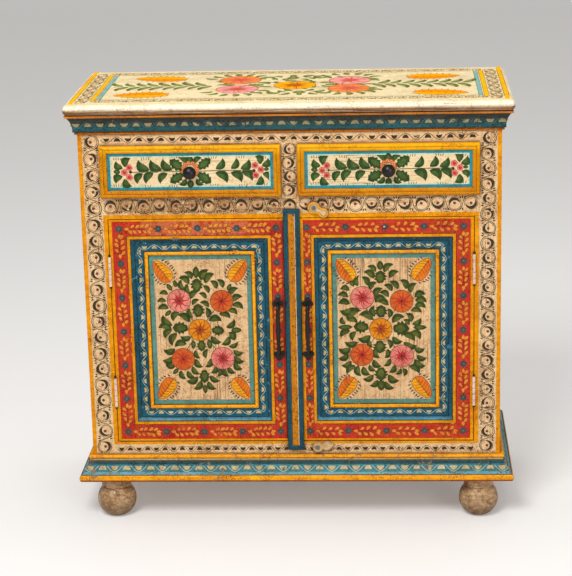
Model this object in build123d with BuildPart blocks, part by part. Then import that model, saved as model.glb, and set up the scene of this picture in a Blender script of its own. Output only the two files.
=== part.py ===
"""Painted sideboard: two drawers over a two-door cupboard, on four bun feet.

The frame: +X to the right, +Y to the back and +Z up, with the origin on the floor, in the middle of
the width and halfway between the front of the knobs and the back of the top. Millimetres.
"""

import os

from build123d import *

# ---------------------------------------------------------------- driving sizes
# Whole body
overall_height = 885
body_width = 850
body_depth = 374
frame_thickness = 20
side_thickness = 18
back_thickness = 8
back_board_count = 5
back_board_gap = 0.3

# Top board
top_thickness = 22
top_front_overhang = 26
top_side_overhang = 25
top_back_overhang = 8
top_nose_radius = 10.5
top_front_corner_radius = 12
top_back_corner_radius = 24

# Face frame
stile_width = 53.5
top_rail_height = 74.6
middle_rail_height = 55.7
bottom_rail_sight = 27.5
drawer_opening_height = 86.2
muntin_width = 53
tenon_length = 30
tenon_thickness = 8
tenon_shoulder = 8
stub_tenon_length = 15
joint_fit = 0.1
mitre_gap = 0.1

# Boards inside the carcass
base_thickness = 18
floor_thickness = 18
door_stop_height = 6
door_stop_gap = 0.4
deck_thickness = 12
shelf_thickness = 16
shelf_rise = 245
shelf_setback = 30
dado_depth = 6
back_rabbet = 10
guide_height = 25
kicker_thickness = 18
kicker_reach = 20

# Cornice under the top: fillet, cove and bead
cornice_height = 41
cornice_fillet_height = 4
cornice_fillet_reach = 21.5
cornice_cove_top_reach = 18
cornice_cove_bottom_reach = 8
cornice_cove_sag = 3.5
cornice_bead_height = 6
cornice_bead_reach = 5

# Plinth: bead, band, flared cove and heavy bottom bead
plinth_height = 53
plinth_top_bead_height = 7.5
plinth_top_bead_reach = 9
plinth_band_height = 4
plinth_band_reach = 7.5
plinth_cove_top_reach = 10
plinth_cove_bottom_reach = 23.5
plinth_cove_sag = 4
plinth_bottom_bead_height = 15
plinth_bottom_bead_reach = 28
bead_round = 3

# Bun feet
foot_height = 86
foot_ball_height = 66
foot_ball_radius = 40.7
foot_flat_radius = 18
foot_waist_radius = 26
foot_neck_radius = 31
foot_tenon_radius = 11
foot_tenon_length = 14
foot_side_inset = 43
foot_front_inset = 18
foot_back_inset = 43

# Doors
door_gap = 1.5
door_foot_gap = 2
door_thickness = 20
door_hinge_stile_width = 42
door_meeting_stile_centre = 46.5
door_top_rail_height = 40.7
door_bottom_rail_height = 42.5
door_tenon_length = 24
door_panel_thickness = 8
door_panel_recess = 7
door_groove_depth = 8
panel_play = 0.5
moulding_width = 28
moulding_thickness = 2.5
moulding_lip_height = 6.2
moulding_lip_width = 1.5
moulding_slope_width = 6.5
panel_bead_width = 7
panel_bead_height = 6

# Meeting strip on the right door
strip_left = 14.2
strip_right = 19
strip_thickness = 8.5
strip_overlap = 18.5
strip_relief = 0.5
strip_edge_width = 8.7
strip_end_band = 8.5
strip_channel_depth = 2
strip_edge_radius = 2.4
strip_side_gap = 1.3
strip_backing = 1.3

# Butt hinges
hinge_length = 63
hinge_end_distance = 108
hinge_axis_reach = 3.5
knuckle_radius = 3.2
knuckle_gap = 0.3
knuckle_count = 5
pin_radius = 1.5
pin_play = 0.15
pin_ball_radius = 2.6
pin_ball_rise = 2.2
leaf_thickness = 1.2
leaf_offset = 0.45
leaf_depth = 17

# Wrought pulls
pull_length = 135
pull_height = 411.6
left_pull_offset = 29
right_pull_offset = 31.5
pull_plate_thickness = 2.5
pull_lobe_radius = 5.5
pull_lobe_spread = 6.5
pull_lobe_rise = 8
pull_neck_width = 8
pull_neck_length = 24
pull_bar_radius = 3.2
pull_stand_off = 18
pull_bend_radius = 9
pull_screw_radius = 1.5
pull_screw_length = 9
pull_screw_head_radius = 2.6
pull_screw_head_height = 1.4
screw_fit = 0.05

# Drawers
drawer_lip_overlap = 10
drawer_lip_thickness = 5
drawer_lip_gap = 0.3
drawer_block_thickness = 13
drawer_side_play = 1
drawer_foot_play = 0.4
drawer_head_play = 1.4
drawer_side_thickness = 10
drawer_back_thickness = 10
drawer_back_space = 36
drawer_bottom_thickness = 5
drawer_bottom_rise = 8
drawer_groove_depth = 5
drawer_rabbet_depth = 8
drawer_moulding_width = 15
drawer_moulding_height = 6.5
drawer_moulding_bead_width = 7.5
drawer_moulding_outer_height = 3.25
drawer_moulding_valley_height = 4.6
drawer_moulding_shoulder_height = 5.2
drawer_moulding_inner_height = 2.2

# Knobs
knob_length = 26
knob_radius = 13.5
knob_base_radius = 8
knob_base_height = 2.1
knob_neck_radius = 5.5
knob_neck_height = 6.2
knob_head_height = 10.9
knob_flare_radius = 11.7
knob_flare_height = 12.5
knob_widest_height = 16.1
knob_screw_radius = 2
knob_screw_depth = 12
knob_screw_head_radius = 4.5
knob_screw_head_height = 2.5
knob_screw_hole_play = 0.2

# Turn buttons
button_thickness = 6.6
button_gap = 0.4
button_edge_radius = 1.2
button_recess = 1
button_rim = 3.4
button_screw_radius = 2
button_screw_play = 0.2
button_screw_head_radius = 4
button_screw_head_height = 1.8
button_screw_head_gap = 0.3
button_screw_length = 14
top_button_offset = 48
top_button_rise = 21
top_button_head_radius = 12
top_button_tail_radius = 9.5
top_button_length = 22.5
top_button_waist = 14
top_button_waist_radius = 6
top_button_angle = 60
bottom_button_offset = 47.6
bottom_button_drop = 12
bottom_button_head_radius = 10.8
bottom_button_leaf_length = 34
bottom_button_leaf_root = 3
bottom_button_leaf_width = 19
bottom_button_angle = 80

# ---------------------------------------------------------------- places worked out from the sizes
front_reach = drawer_lip_thickness + knob_length
face = (front_reach - body_depth - top_back_overhang) / 2
frame_back = face + frame_thickness
body_back = face + body_depth
back_front = body_back - back_thickness

body_half = body_width / 2
opening_half = body_half - stile_width
side_inner = body_half - side_thickness
muntin_half = muntin_width / 2

body_top = overall_height - top_thickness
body_bottom = foot_height
carcass_bottom = body_bottom + base_thickness
door_opening_bottom = body_bottom + plinth_height + bottom_rail_sight
drawer_opening_top = body_top - top_rail_height
drawer_opening_bottom = drawer_opening_top - drawer_opening_height
door_opening_top = drawer_opening_bottom - middle_rail_height

floor_top = door_opening_bottom + door_stop_height
shelf_bottom = floor_top + shelf_rise
door_bottom = door_opening_bottom + door_foot_gap
door_top = door_opening_top - door_gap
door_outer = opening_half - door_gap
door_back = face + door_thickness
sight_outer = door_outer - door_hinge_stile_width
sight_inner = door_meeting_stile_centre
sight_bottom = door_bottom + door_bottom_rail_height
sight_top = door_top - door_top_rail_height
panel_front = face + door_panel_recess
panel_back = panel_front + door_panel_thickness

hinge_axis_x = opening_half - door_gap / 2
hinge_axis_y = face - hinge_axis_reach
hinge_heights = (door_bottom + hinge_end_distance, door_top - hinge_end_distance)
leaf_recess = leaf_offset + leaf_thickness - door_gap / 2

rail_spans = (
    (carcass_bottom, door_opening_bottom),
    (door_opening_top, drawer_opening_bottom),
    (drawer_opening_top, body_top),
)
tenon_span = (
    face + (frame_thickness - tenon_thickness) / 2,
    face + (frame_thickness + tenon_thickness) / 2,
)
board_spans = (
    (floor_top - floor_thickness, floor_top),
    (shelf_bottom, shelf_bottom + shelf_thickness),
    (drawer_opening_bottom - deck_thickness, drawer_opening_bottom),
)
foot_places = {
    "front_left": (-body_half + foot_side_inset, face + foot_front_inset),
    "front_right": (body_half - foot_side_inset, face + foot_front_inset),
    "back_left": (-body_half + foot_side_inset, body_back - foot_back_inset),
    "back_right": (body_half - foot_side_inset, body_back - foot_back_inset),
}
button_back = face - button_gap
button_front = button_back - button_thickness
top_pivot = (top_button_offset, door_opening_top + top_button_rise)
bottom_pivot = (bottom_button_offset, door_opening_bottom - bottom_button_drop)

SIDES = (("left", -1), ("right", 1))


# ---------------------------------------------------------------- helpers
def save(piece, name):
    """Label a finished piece and write it to its own file."""
    piece.part.label = name
    export_step(piece.part, f"parts/{name}.step")


def beside(side, inner, outer):
    """Limits along X of what lies between two distances from the middle, on one side."""
    return tuple(sorted((side * inner, side * outer)))


def widened(span, play):
    """Limits moved apart by some play at each end."""
    return (span[0] - play, span[1] + play)


def block(x_span, y_span, z_span, mode=Mode.ADD):
    """Add, or cut, a rectangular block between two limits along each axis."""
    spans = (x_span, y_span, z_span)
    with Locations(tuple((low + high) / 2 for low, high in spans)):
        Box(*(high - low for low, high in spans), mode=mode)


def round_bar(centre, radius, y_span, mode=Mode.ADD):
    """Add, or cut, a cylinder that lies along Y at a place (x, z)."""
    middle = (centre[0], (y_span[0] + y_span[1]) / 2, centre[1])
    with Locations(Location(middle, (90, 0, 0))):
        Cylinder(radius, y_span[1] - y_span[0], mode=mode)


def front_plane(centre, y, turn=0):
    """A plane that faces the front at a depth y, centred on a place (x, z) and turned in degrees."""
    across = Vector(1, 0, 0).rotate(Axis((0, 0, 0), (0, -1, 0)), turn)
    return Plane(origin=(centre[0], y, centre[1]), x_dir=across, z_dir=(0, -1, 0))


def mitred_frame(x_span, z_span, y, section, width, height):
    """Four mitred lengths of moulding round a rectangle, with their backs at the depth y."""
    corners = [
        (x_span[0], z_span[0]),
        (x_span[1], z_span[0]),
        (x_span[1], z_span[1]),
        (x_span[0], z_span[1]),
    ]
    lengths = []
    for start, end in zip(corners, corners[1:] + corners[:1]):
        run = Vector(end[0] - start[0], 0, end[1] - start[1])
        origin = (start[0], y, start[1])
        side_plane = Plane(origin=origin, x_dir=run, z_dir=(0, -1, 0))
        with BuildPart() as length:
            with BuildSketch(Plane(origin=origin, x_dir=side_plane.y_dir, z_dir=run)):
                add(section)
            extrude(amount=run.length)
            with BuildSketch(side_plane):
                Polygon(
                    (mitre_gap, 0),
                    (run.length - mitre_gap, 0),
                    (run.length - width - mitre_gap, width),
                    (width + mitre_gap, width),
                    align=None,
                )
            extrude(amount=height, mode=Mode.INTERSECT)
        lengths.append(length.part)
    return lengths


def wall_moulding(section, outward, start, length, plan):
    """A length of moulding run along a wall, with its ends cut to a plan."""
    run = Vector(*outward).cross(Vector(0, 0, 1))
    with BuildPart() as moulding:
        with BuildSketch(Plane(origin=(*start, 0), x_dir=outward, z_dir=run)):
            add(section)
        extrude(amount=length)
        with BuildSketch():
            Polygon(*plan, align=None)
        extrude(amount=overall_height, mode=Mode.INTERSECT)
    return moulding.part


def wrapped_moulding(section, reach):
    """A moulding round the front and both sides of the body, mitred at the front corners."""
    front_plan = (
        (-body_half, face),
        (-body_half - reach, face - reach),
        (body_half + reach, face - reach),
        (body_half, face),
    )
    front_start = (body_half + reach, face)
    front = wall_moulding(section, (0, -1, 0), front_start, body_width + 2 * reach, front_plan)
    ends = []
    for _, side in SIDES:
        plan = (
            (side * body_half, face),
            (side * (body_half + reach), face - reach),
            (side * (body_half + reach), body_back),
            (side * body_half, body_back),
        )
        start_y = body_back if side > 0 else face - reach
        start = (side * body_half, start_y)
        ends.append(wall_moulding(section, (side, 0, 0), start, body_depth + reach, plan))
    return front, ends


def hinge_half(side, toward, centre, owned, bore):
    """One half of a butt hinge: a leaf on one side of the pin, and the knuckles it owns."""
    axis_x = side * hinge_axis_x
    bottom = centre - hinge_length / 2
    pitch = hinge_length / knuckle_count
    leaf_start = axis_x + toward * leaf_offset
    leaf_x = tuple(sorted((leaf_start, leaf_start + toward * leaf_thickness)))
    with BuildPart() as half:
        block(leaf_x, (face, face + leaf_depth), (bottom, bottom + hinge_length))
        for index in owned:
            knuckle = widened((bottom + index * pitch, bottom + (index + 1) * pitch), -knuckle_gap / 2)
            block(leaf_x, (hinge_axis_y, face), knuckle)
            with Locations((axis_x, hinge_axis_y, sum(knuckle) / 2)):
                Cylinder(knuckle_radius, knuckle[1] - knuckle[0])
        with Locations((axis_x, hinge_axis_y, centre)):
            Cylinder(bore, hinge_length, mode=Mode.SUBTRACT)
    return half.part


os.makedirs("parts", exist_ok=True)

# ---------------------------------------------------------------- top board
with BuildPart() as top_board:
    block(
        (-body_half - top_side_overhang, body_half + top_side_overhang),
        (face - top_front_overhang, body_back + top_back_overhang),
        (body_top, overall_height),
    )
    corner_edges = top_board.edges().filter_by(Axis.Z).sort_by(Axis.Y)
    fillet(corner_edges[:2], radius=top_front_corner_radius)
    corner_edges = top_board.edges().filter_by(Axis.Z).sort_by(Axis.Y)
    fillet(corner_edges[-2:], radius=top_back_corner_radius)
    rim_edges = top_board.faces().filter_by(Axis.Z).edges()
    fillet(rim_edges, radius=top_nose_radius)
save(top_board, "top_board")

# ---------------------------------------------------------------- cornice and plinth
with BuildSketch() as cornice_section:
    bead_foot = body_top - cornice_height
    bead_head = bead_foot + cornice_bead_height
    cove_head = body_top - cornice_fillet_height
    with BuildLine():
        Polyline(
            (cornice_bead_reach - bead_round, bead_foot),
            (0, bead_foot),
            (0, body_top),
            (cornice_fillet_reach, body_top),
            (cornice_fillet_reach, cove_head),
            (cornice_cove_top_reach, cove_head),
        )
        ThreePointArc(
            (cornice_cove_top_reach, cove_head),
            (
                (cornice_cove_top_reach + cornice_cove_bottom_reach) / 2 - cornice_cove_sag,
                (cove_head + bead_head) / 2,
            ),
            (cornice_cove_bottom_reach, bead_head),
        )
        Line(
            (cornice_cove_bottom_reach, bead_head),
            (cornice_bead_reach - bead_round, bead_head),
        )
        ThreePointArc(
            (cornice_bead_reach - bead_round, bead_head),
            (cornice_bead_reach, (bead_foot + bead_head) / 2),
            (cornice_bead_reach - bead_round, bead_foot),
        )
    make_face()

with BuildSketch() as plinth_section:
    plinth_top = body_bottom + plinth_height
    heavy_top = body_bottom + plinth_bottom_bead_height
    band_top = plinth_top - plinth_top_bead_height
    band_foot = band_top - plinth_band_height
    with BuildLine():
        Polyline(
            (plinth_bottom_bead_reach - bead_round, body_bottom),
            (0, body_bottom),
            (0, plinth_top),
            (plinth_top_bead_reach - bead_round, plinth_top),
        )
        ThreePointArc(
            (plinth_top_bead_reach - bead_round, plinth_top),
            (plinth_top_bead_reach, (plinth_top + band_top) / 2),
            (plinth_top_bead_reach - bead_round, band_top),
        )
        Polyline(
            (plinth_top_bead_reach - bead_round, band_top),
            (plinth_band_reach, band_top),
            (plinth_band_reach, band_foot),
            (plinth_cove_top_reach, band_foot),
        )
        ThreePointArc(
            (plinth_cove_top_reach, band_foot),
            (
                (plinth_cove_top_reach + plinth_cove_bottom_reach) / 2 - plinth_cove_sag,
                (band_foot + heavy_top) / 2,
            ),
            (plinth_cove_bottom_reach, heavy_top),
        )
        Line(
            (plinth_cove_bottom_reach, heavy_top),
            (plinth_bottom_bead_reach - bead_round, heavy_top),
        )
        ThreePointArc(
            (plinth_bottom_bead_reach - bead_round, heavy_top),
            (plinth_bottom_bead_reach, (body_bottom + heavy_top) / 2),
            (plinth_bottom_bead_reach - bead_round, body_bottom),
        )
    make_face()

wrapped = {
    "cornice": wrapped_moulding(cornice_section.sketch, cornice_fillet_reach),
    "plinth": wrapped_moulding(plinth_section.sketch, plinth_bottom_bead_reach),
}
for name, (front_length, side_lengths) in wrapped.items():
    with BuildPart() as moulding_front:
        add(front_length)
    save(moulding_front, f"{name}_front")
    with BuildPart() as moulding_sides:
        add(side_lengths)
    save(moulding_sides, f"{name}_sides")

# ---------------------------------------------------------------- face frame
for name, side in SIDES:
    with BuildPart() as stile:
        block(
            beside(side, opening_half, body_half),
            (face, frame_back),
            (carcass_bottom, body_top),
        )
        for rail_span in rail_spans:
            block(
                beside(side, opening_half, opening_half + tenon_length + joint_fit),
                widened(tenon_span, joint_fit),
                widened(rail_span, joint_fit - tenon_shoulder),
                mode=Mode.SUBTRACT,
            )
        for height in hinge_heights:
            block(
                beside(side, opening_half, opening_half + leaf_recess),
                (face, face + leaf_depth),
                widened((height, height), hinge_length / 2),
                mode=Mode.SUBTRACT,
            )
    save(stile, f"stile_{name}")

stub_hole = stub_tenon_length + joint_fit
muntin_sockets = {
    "middle": (drawer_opening_bottom - stub_hole, drawer_opening_bottom),
    "top": (drawer_opening_top, drawer_opening_top + stub_hole),
}
button_pivots = {"bottom": bottom_pivot, "middle": top_pivot}
for name, rail_span in zip(("bottom", "middle", "top"), rail_spans):
    with BuildPart() as rail:
        block((-opening_half, opening_half), (face, frame_back), rail_span)
        block(
            widened((-opening_half, opening_half), tenon_length),
            tenon_span,
            widened(rail_span, -tenon_shoulder),
        )
        if name in muntin_sockets:
            block(
                widened((-muntin_half, muntin_half), joint_fit - tenon_shoulder),
                widened(tenon_span, joint_fit),
                muntin_sockets[name],
                mode=Mode.SUBTRACT,
            )
        if name in button_pivots:
            round_bar(
                button_pivots[name],
                button_screw_radius + screw_fit,
                (face, face + button_screw_length),
                mode=Mode.SUBTRACT,
            )
    save(rail, f"rail_{name}")

with BuildPart() as drawer_muntin:
    drawer_opening = (drawer_opening_bottom, drawer_opening_top)
    block((-muntin_half, muntin_half), (face, frame_back), drawer_opening)
    block(
        widened((-muntin_half, muntin_half), -tenon_shoulder),
        tenon_span,
        widened(drawer_opening, stub_tenon_length),
    )
save(drawer_muntin, "drawer_muntin")

# ---------------------------------------------------------------- carcass boards
for name, side in SIDES:
    with BuildPart() as side_board:
        block(
            beside(side, side_inner, body_half),
            (frame_back, body_back),
            (carcass_bottom, body_top),
        )
        for board_span in board_spans:
            block(
                beside(side, side_inner, side_inner + dado_depth),
                (frame_back, back_front),
                widened(board_span, joint_fit),
                mode=Mode.SUBTRACT,
            )
        block(
            beside(side, side_inner, side_inner + back_rabbet),
            (back_front, body_back),
            (carcass_bottom, body_top),
            mode=Mode.SUBTRACT,
        )
    save(side_board, f"side_{name}")

board_fronts = {
    "floor_board": frame_back + door_stop_gap,
    "shelf": frame_back + shelf_setback,
    "drawer_deck": frame_back,
}
housed_half = side_inner + dado_depth - joint_fit
for (name, board_front), board_span in zip(board_fronts.items(), board_spans):
    with BuildPart() as housed_board:
        block((-housed_half, housed_half), (board_front, back_front), board_span)
    save(housed_board, name)

with BuildPart() as base_board:
    block((-body_half, body_half), (face, body_back), (body_bottom, carcass_bottom))
    for foot_x, foot_y in foot_places.values():
        with Locations((foot_x, foot_y, body_bottom + (foot_tenon_length + joint_fit) / 2)):
            Cylinder(
                foot_tenon_radius + joint_fit,
                foot_tenon_length + joint_fit,
                mode=Mode.SUBTRACT,
            )
save(base_board, "base_board")

with BuildPart() as back_boards:
    back_half = side_inner + back_rabbet - joint_fit
    back_pitch = 2 * back_half / back_board_count
    for index in range(back_board_count):
        board_left = -back_half + index * back_pitch
        block(
            widened((board_left, board_left + back_pitch), -back_board_gap / 2),
            (back_front, body_back),
            (carcass_bottom, body_top),
        )
save(back_boards, "back_boards")

with BuildPart() as drawer_guides:
    guide_z = (drawer_opening_bottom, drawer_opening_bottom + guide_height)
    block((-muntin_half, muntin_half), (frame_back, back_front), guide_z)
    for _, side in SIDES:
        block(beside(side, opening_half, side_inner), (frame_back, back_front), guide_z)
save(drawer_guides, "drawer_guides")

with BuildPart() as drawer_kickers:
    kicker_z = (drawer_opening_top, drawer_opening_top + kicker_thickness)
    block(
        widened((-muntin_half, muntin_half), kicker_reach),
        (frame_back, back_front),
        kicker_z,
    )
    for _, side in SIDES:
        block(
            beside(side, opening_half - kicker_reach, side_inner),
            (frame_back, back_front),
            kicker_z,
        )
save(drawer_kickers, "drawer_kickers")

# ---------------------------------------------------------------- bun feet
for name, (foot_x, foot_y) in foot_places.items():
    with BuildPart() as foot:
        with BuildSketch(front_plane((foot_x, 0), foot_y)):
            with BuildLine():
                Line((0, 0), (foot_flat_radius, 0))
                ThreePointArc(
                    (foot_flat_radius, 0),
                    (foot_ball_radius, foot_ball_height / 2),
                    (foot_waist_radius, foot_ball_height),
                )
                Polyline(
                    (foot_waist_radius, foot_ball_height),
                    (foot_neck_radius, foot_ball_height),
                    (foot_neck_radius, foot_height),
                    (foot_tenon_radius, foot_height),
                    (foot_tenon_radius, foot_height + foot_tenon_length),
                    (0, foot_height + foot_tenon_length),
                    (0, 0),
                )
            make_face()
        revolve(axis=Axis((foot_x, foot_y, 0), (0, 0, 1)))
    save(foot, f"foot_{name}")

# ---------------------------------------------------------------- hinges on the frame
frame_knuckles = range(0, knuckle_count, 2)
door_knuckles = range(1, knuckle_count, 2)

with BuildPart() as hinge_frame_leaves:
    for _, side in SIDES:
        for height in hinge_heights:
            add(hinge_half(side, side, height, frame_knuckles, pin_radius))
save(hinge_frame_leaves, "hinge_frame_leaves")

with BuildPart() as hinge_pins:
    for _, side in SIDES:
        for height in hinge_heights:
            with Locations((side * hinge_axis_x, hinge_axis_y, height)):
                Cylinder(pin_radius, hinge_length + pin_ball_rise)
            ball_rise = hinge_length / 2 + pin_ball_rise
            for end in (-ball_rise, ball_rise):
                with Locations((side * hinge_axis_x, hinge_axis_y, height + end)):
                    Sphere(pin_ball_radius)
save(hinge_pins, "hinge_pins")

# ---------------------------------------------------------------- doors
lip_height = moulding_lip_height
slope_end = moulding_lip_width + moulding_slope_width
with BuildSketch() as door_moulding_section:
    Polygon(
        (0, 0),
        (moulding_width, 0),
        (moulding_width, moulding_thickness),
        (slope_end, moulding_thickness),
        (moulding_lip_width, lip_height),
        (0, lip_height),
        align=None,
    )

with BuildSketch() as panel_bead_section:
    with BuildLine():
        Line((0, 0), (panel_bead_width, 0))
        ThreePointArc(
            (panel_bead_width, 0),
            (panel_bead_width / 2, panel_bead_height),
            (0, 0),
        )
    make_face()

free_edges = {
    "left": strip_left + strip_side_gap,
    "right": strip_left - strip_backing,
}
pull_offsets = {"left": left_pull_offset, "right": right_pull_offset}
pull_plate_rise = pull_length / 2 - pull_lobe_rise - pull_lobe_radius
plate_heights = (pull_height - pull_plate_rise, pull_height + pull_plate_rise)

for name, side in SIDES:
    sight_x = beside(side, sight_inner, sight_outer)
    sight_z = (sight_bottom, sight_top)
    hinge_stile_x = beside(side, sight_outer, door_outer)
    meeting_stile_x = tuple(sorted((-free_edges[name], side * sight_inner)))
    panel_y = (panel_front, panel_back)
    pull_x = side * pull_offsets[name]
    pull_screw_places = [
        (pull_x + across, height)
        for across in (-pull_lobe_spread, pull_lobe_spread)
        for height in plate_heights
    ]
    door_rail_spans = ((door_bottom, sight_bottom), (sight_top, door_top))

    with BuildPart() as door_stiles:
        for stile_x in (hinge_stile_x, meeting_stile_x):
            block(stile_x, (face, door_back), (door_bottom, door_top))
        block(
            widened(sight_x, door_groove_depth),
            panel_y,
            widened(sight_z, door_groove_depth),
            mode=Mode.SUBTRACT,
        )
        for rail_z in door_rail_spans:
            block(
                widened(sight_x, door_tenon_length + joint_fit),
                panel_y,
                widened(rail_z, joint_fit - door_groove_depth),
                mode=Mode.SUBTRACT,
            )
        for height in hinge_heights:
            block(
                beside(side, door_outer - leaf_recess, door_outer),
                (face, face + leaf_depth),
                widened((height, height), hinge_length / 2),
                mode=Mode.SUBTRACT,
            )
        for place in pull_screw_places:
            round_bar(
                place,
                pull_screw_radius + screw_fit,
                (face, face - pull_plate_thickness + pull_screw_length),
                mode=Mode.SUBTRACT,
            )
    save(door_stiles, f"{name}_door_stiles")

    with BuildPart() as door_rails:
        for rail_z in door_rail_spans:
            block(sight_x, (face, door_back), rail_z)
            block(
                widened(sight_x, door_tenon_length),
                panel_y,
                widened(rail_z, -door_groove_depth),
            )
        block(
            sight_x,
            panel_y,
            widened(sight_z, door_groove_depth),
            mode=Mode.SUBTRACT,
        )
    save(door_rails, f"{name}_door_rails")

    with BuildPart() as door_panel:
        block(
            widened(sight_x, door_groove_depth - panel_play),
            panel_y,
            widened(sight_z, door_groove_depth - panel_play),
        )
    save(door_panel, f"{name}_door_panel")

    moulding_lengths = mitred_frame(
        sight_x,
        sight_z,
        panel_front,
        door_moulding_section.sketch,
        moulding_width,
        moulding_lip_height,
    )
    with BuildPart() as door_moulding:
        add(moulding_lengths)
    save(door_moulding, f"{name}_door_moulding")

    bead_lengths = mitred_frame(
        widened(sight_x, -moulding_width),
        widened(sight_z, -moulding_width),
        panel_front,
        panel_bead_section.sketch,
        panel_bead_width,
        panel_bead_height,
    )
    with BuildPart() as door_bead:
        add(bead_lengths)
    save(door_bead, f"{name}_door_bead")

    with BuildPart() as door_leaves:
        for height in hinge_heights:
            add(hinge_half(side, -side, height, door_knuckles, pin_radius + pin_play))
    save(door_leaves, f"{name}_door_hinge_leaves")

    with BuildPart() as door_pull:
        for height, upward in zip(plate_heights, (-1, 1)):
            with BuildSketch(front_plane((pull_x, height), face)):
                for lobe in (
                    (-pull_lobe_spread, 0),
                    (pull_lobe_spread, 0),
                    (0, upward * pull_lobe_rise),
                ):
                    with Locations(lobe):
                        Circle(pull_lobe_radius)
                with Locations((0, upward * (pull_lobe_rise - pull_neck_length / 2))):
                    Rectangle(pull_neck_width, pull_neck_length)
            extrude(amount=pull_plate_thickness)
        bar_y = face - pull_stand_off
        with BuildLine() as bar_path:
            FilletPolyline(
                (pull_x, face - pull_plate_thickness / 2, plate_heights[0]),
                (pull_x, bar_y, plate_heights[0]),
                (pull_x, bar_y, plate_heights[1]),
                (pull_x, face - pull_plate_thickness / 2, plate_heights[1]),
                radius=pull_bend_radius,
            )
        with BuildSketch(
            front_plane((pull_x, plate_heights[0]), face - pull_plate_thickness / 2)
        ):
            Circle(pull_bar_radius)
        sweep(path=bar_path.line)
        for place in pull_screw_places:
            round_bar(
                place,
                pull_screw_radius + screw_fit,
                (face - pull_plate_thickness, face),
                mode=Mode.SUBTRACT,
            )
    save(door_pull, f"{name}_door_pull")

    with BuildPart() as pull_screws:
        plate_front = face - pull_plate_thickness
        for place in pull_screw_places:
            round_bar(place, pull_screw_radius, (plate_front, plate_front + pull_screw_length))
            round_bar(
                place,
                pull_screw_head_radius,
                (plate_front - pull_screw_head_height, plate_front),
            )
    save(pull_screws, f"{name}_door_pull_screws")

with BuildPart() as meeting_strip:
    strip_x = (-strip_left, strip_right)
    strip_z = (door_opening_bottom - strip_overlap + door_foot_gap, door_opening_top + strip_overlap)
    strip_front = face - strip_thickness
    block(strip_x, (strip_front, face), strip_z)
    fillet(
        meeting_strip.faces().sort_by(Axis.Y)[0].edges(),
        radius=strip_edge_radius,
    )
    block(
        widened(strip_x, -strip_edge_width),
        (strip_front, strip_front + strip_channel_depth),
        widened(strip_z, -strip_end_band),
        mode=Mode.SUBTRACT,
    )
    for end_z in ((strip_z[0], door_bottom), (door_top, strip_z[1])):
        block(strip_x, (face - strip_relief, face), end_z, mode=Mode.SUBTRACT)
save(meeting_strip, "meeting_strip")

# ---------------------------------------------------------------- drawers
with BuildSketch() as drawer_moulding_section:
    valley = (drawer_moulding_bead_width, drawer_moulding_valley_height)
    outer_edge = (0, drawer_moulding_outer_height)
    inner_edge = (drawer_moulding_width, drawer_moulding_inner_height)
    shoulder_place = (drawer_moulding_bead_width + drawer_moulding_width) / 2
    with BuildLine():
        Polyline(outer_edge, (0, 0), (drawer_moulding_width, 0), inner_edge)
        ThreePointArc(inner_edge, (shoulder_place, drawer_moulding_shoulder_height), valley)
        ThreePointArc(valley, (drawer_moulding_bead_width / 2, drawer_moulding_height), outer_edge)
    make_face()

lip_x_inner = muntin_half - drawer_lip_overlap
lip_x_outer = opening_half + drawer_lip_overlap
lip_z = widened((drawer_opening_bottom, drawer_opening_top), drawer_lip_overlap)
lip_front = face - drawer_lip_thickness
block_back = face + drawer_block_thickness
box_z = (drawer_opening_bottom + drawer_foot_play, drawer_opening_top - drawer_head_play)
bottom_z = (
    box_z[0] + drawer_bottom_rise,
    box_z[0] + drawer_bottom_rise + drawer_bottom_thickness,
)
side_front = block_back - drawer_rabbet_depth
box_back = back_front - drawer_back_space
knob_height = (drawer_opening_bottom + drawer_opening_top) / 2

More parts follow.
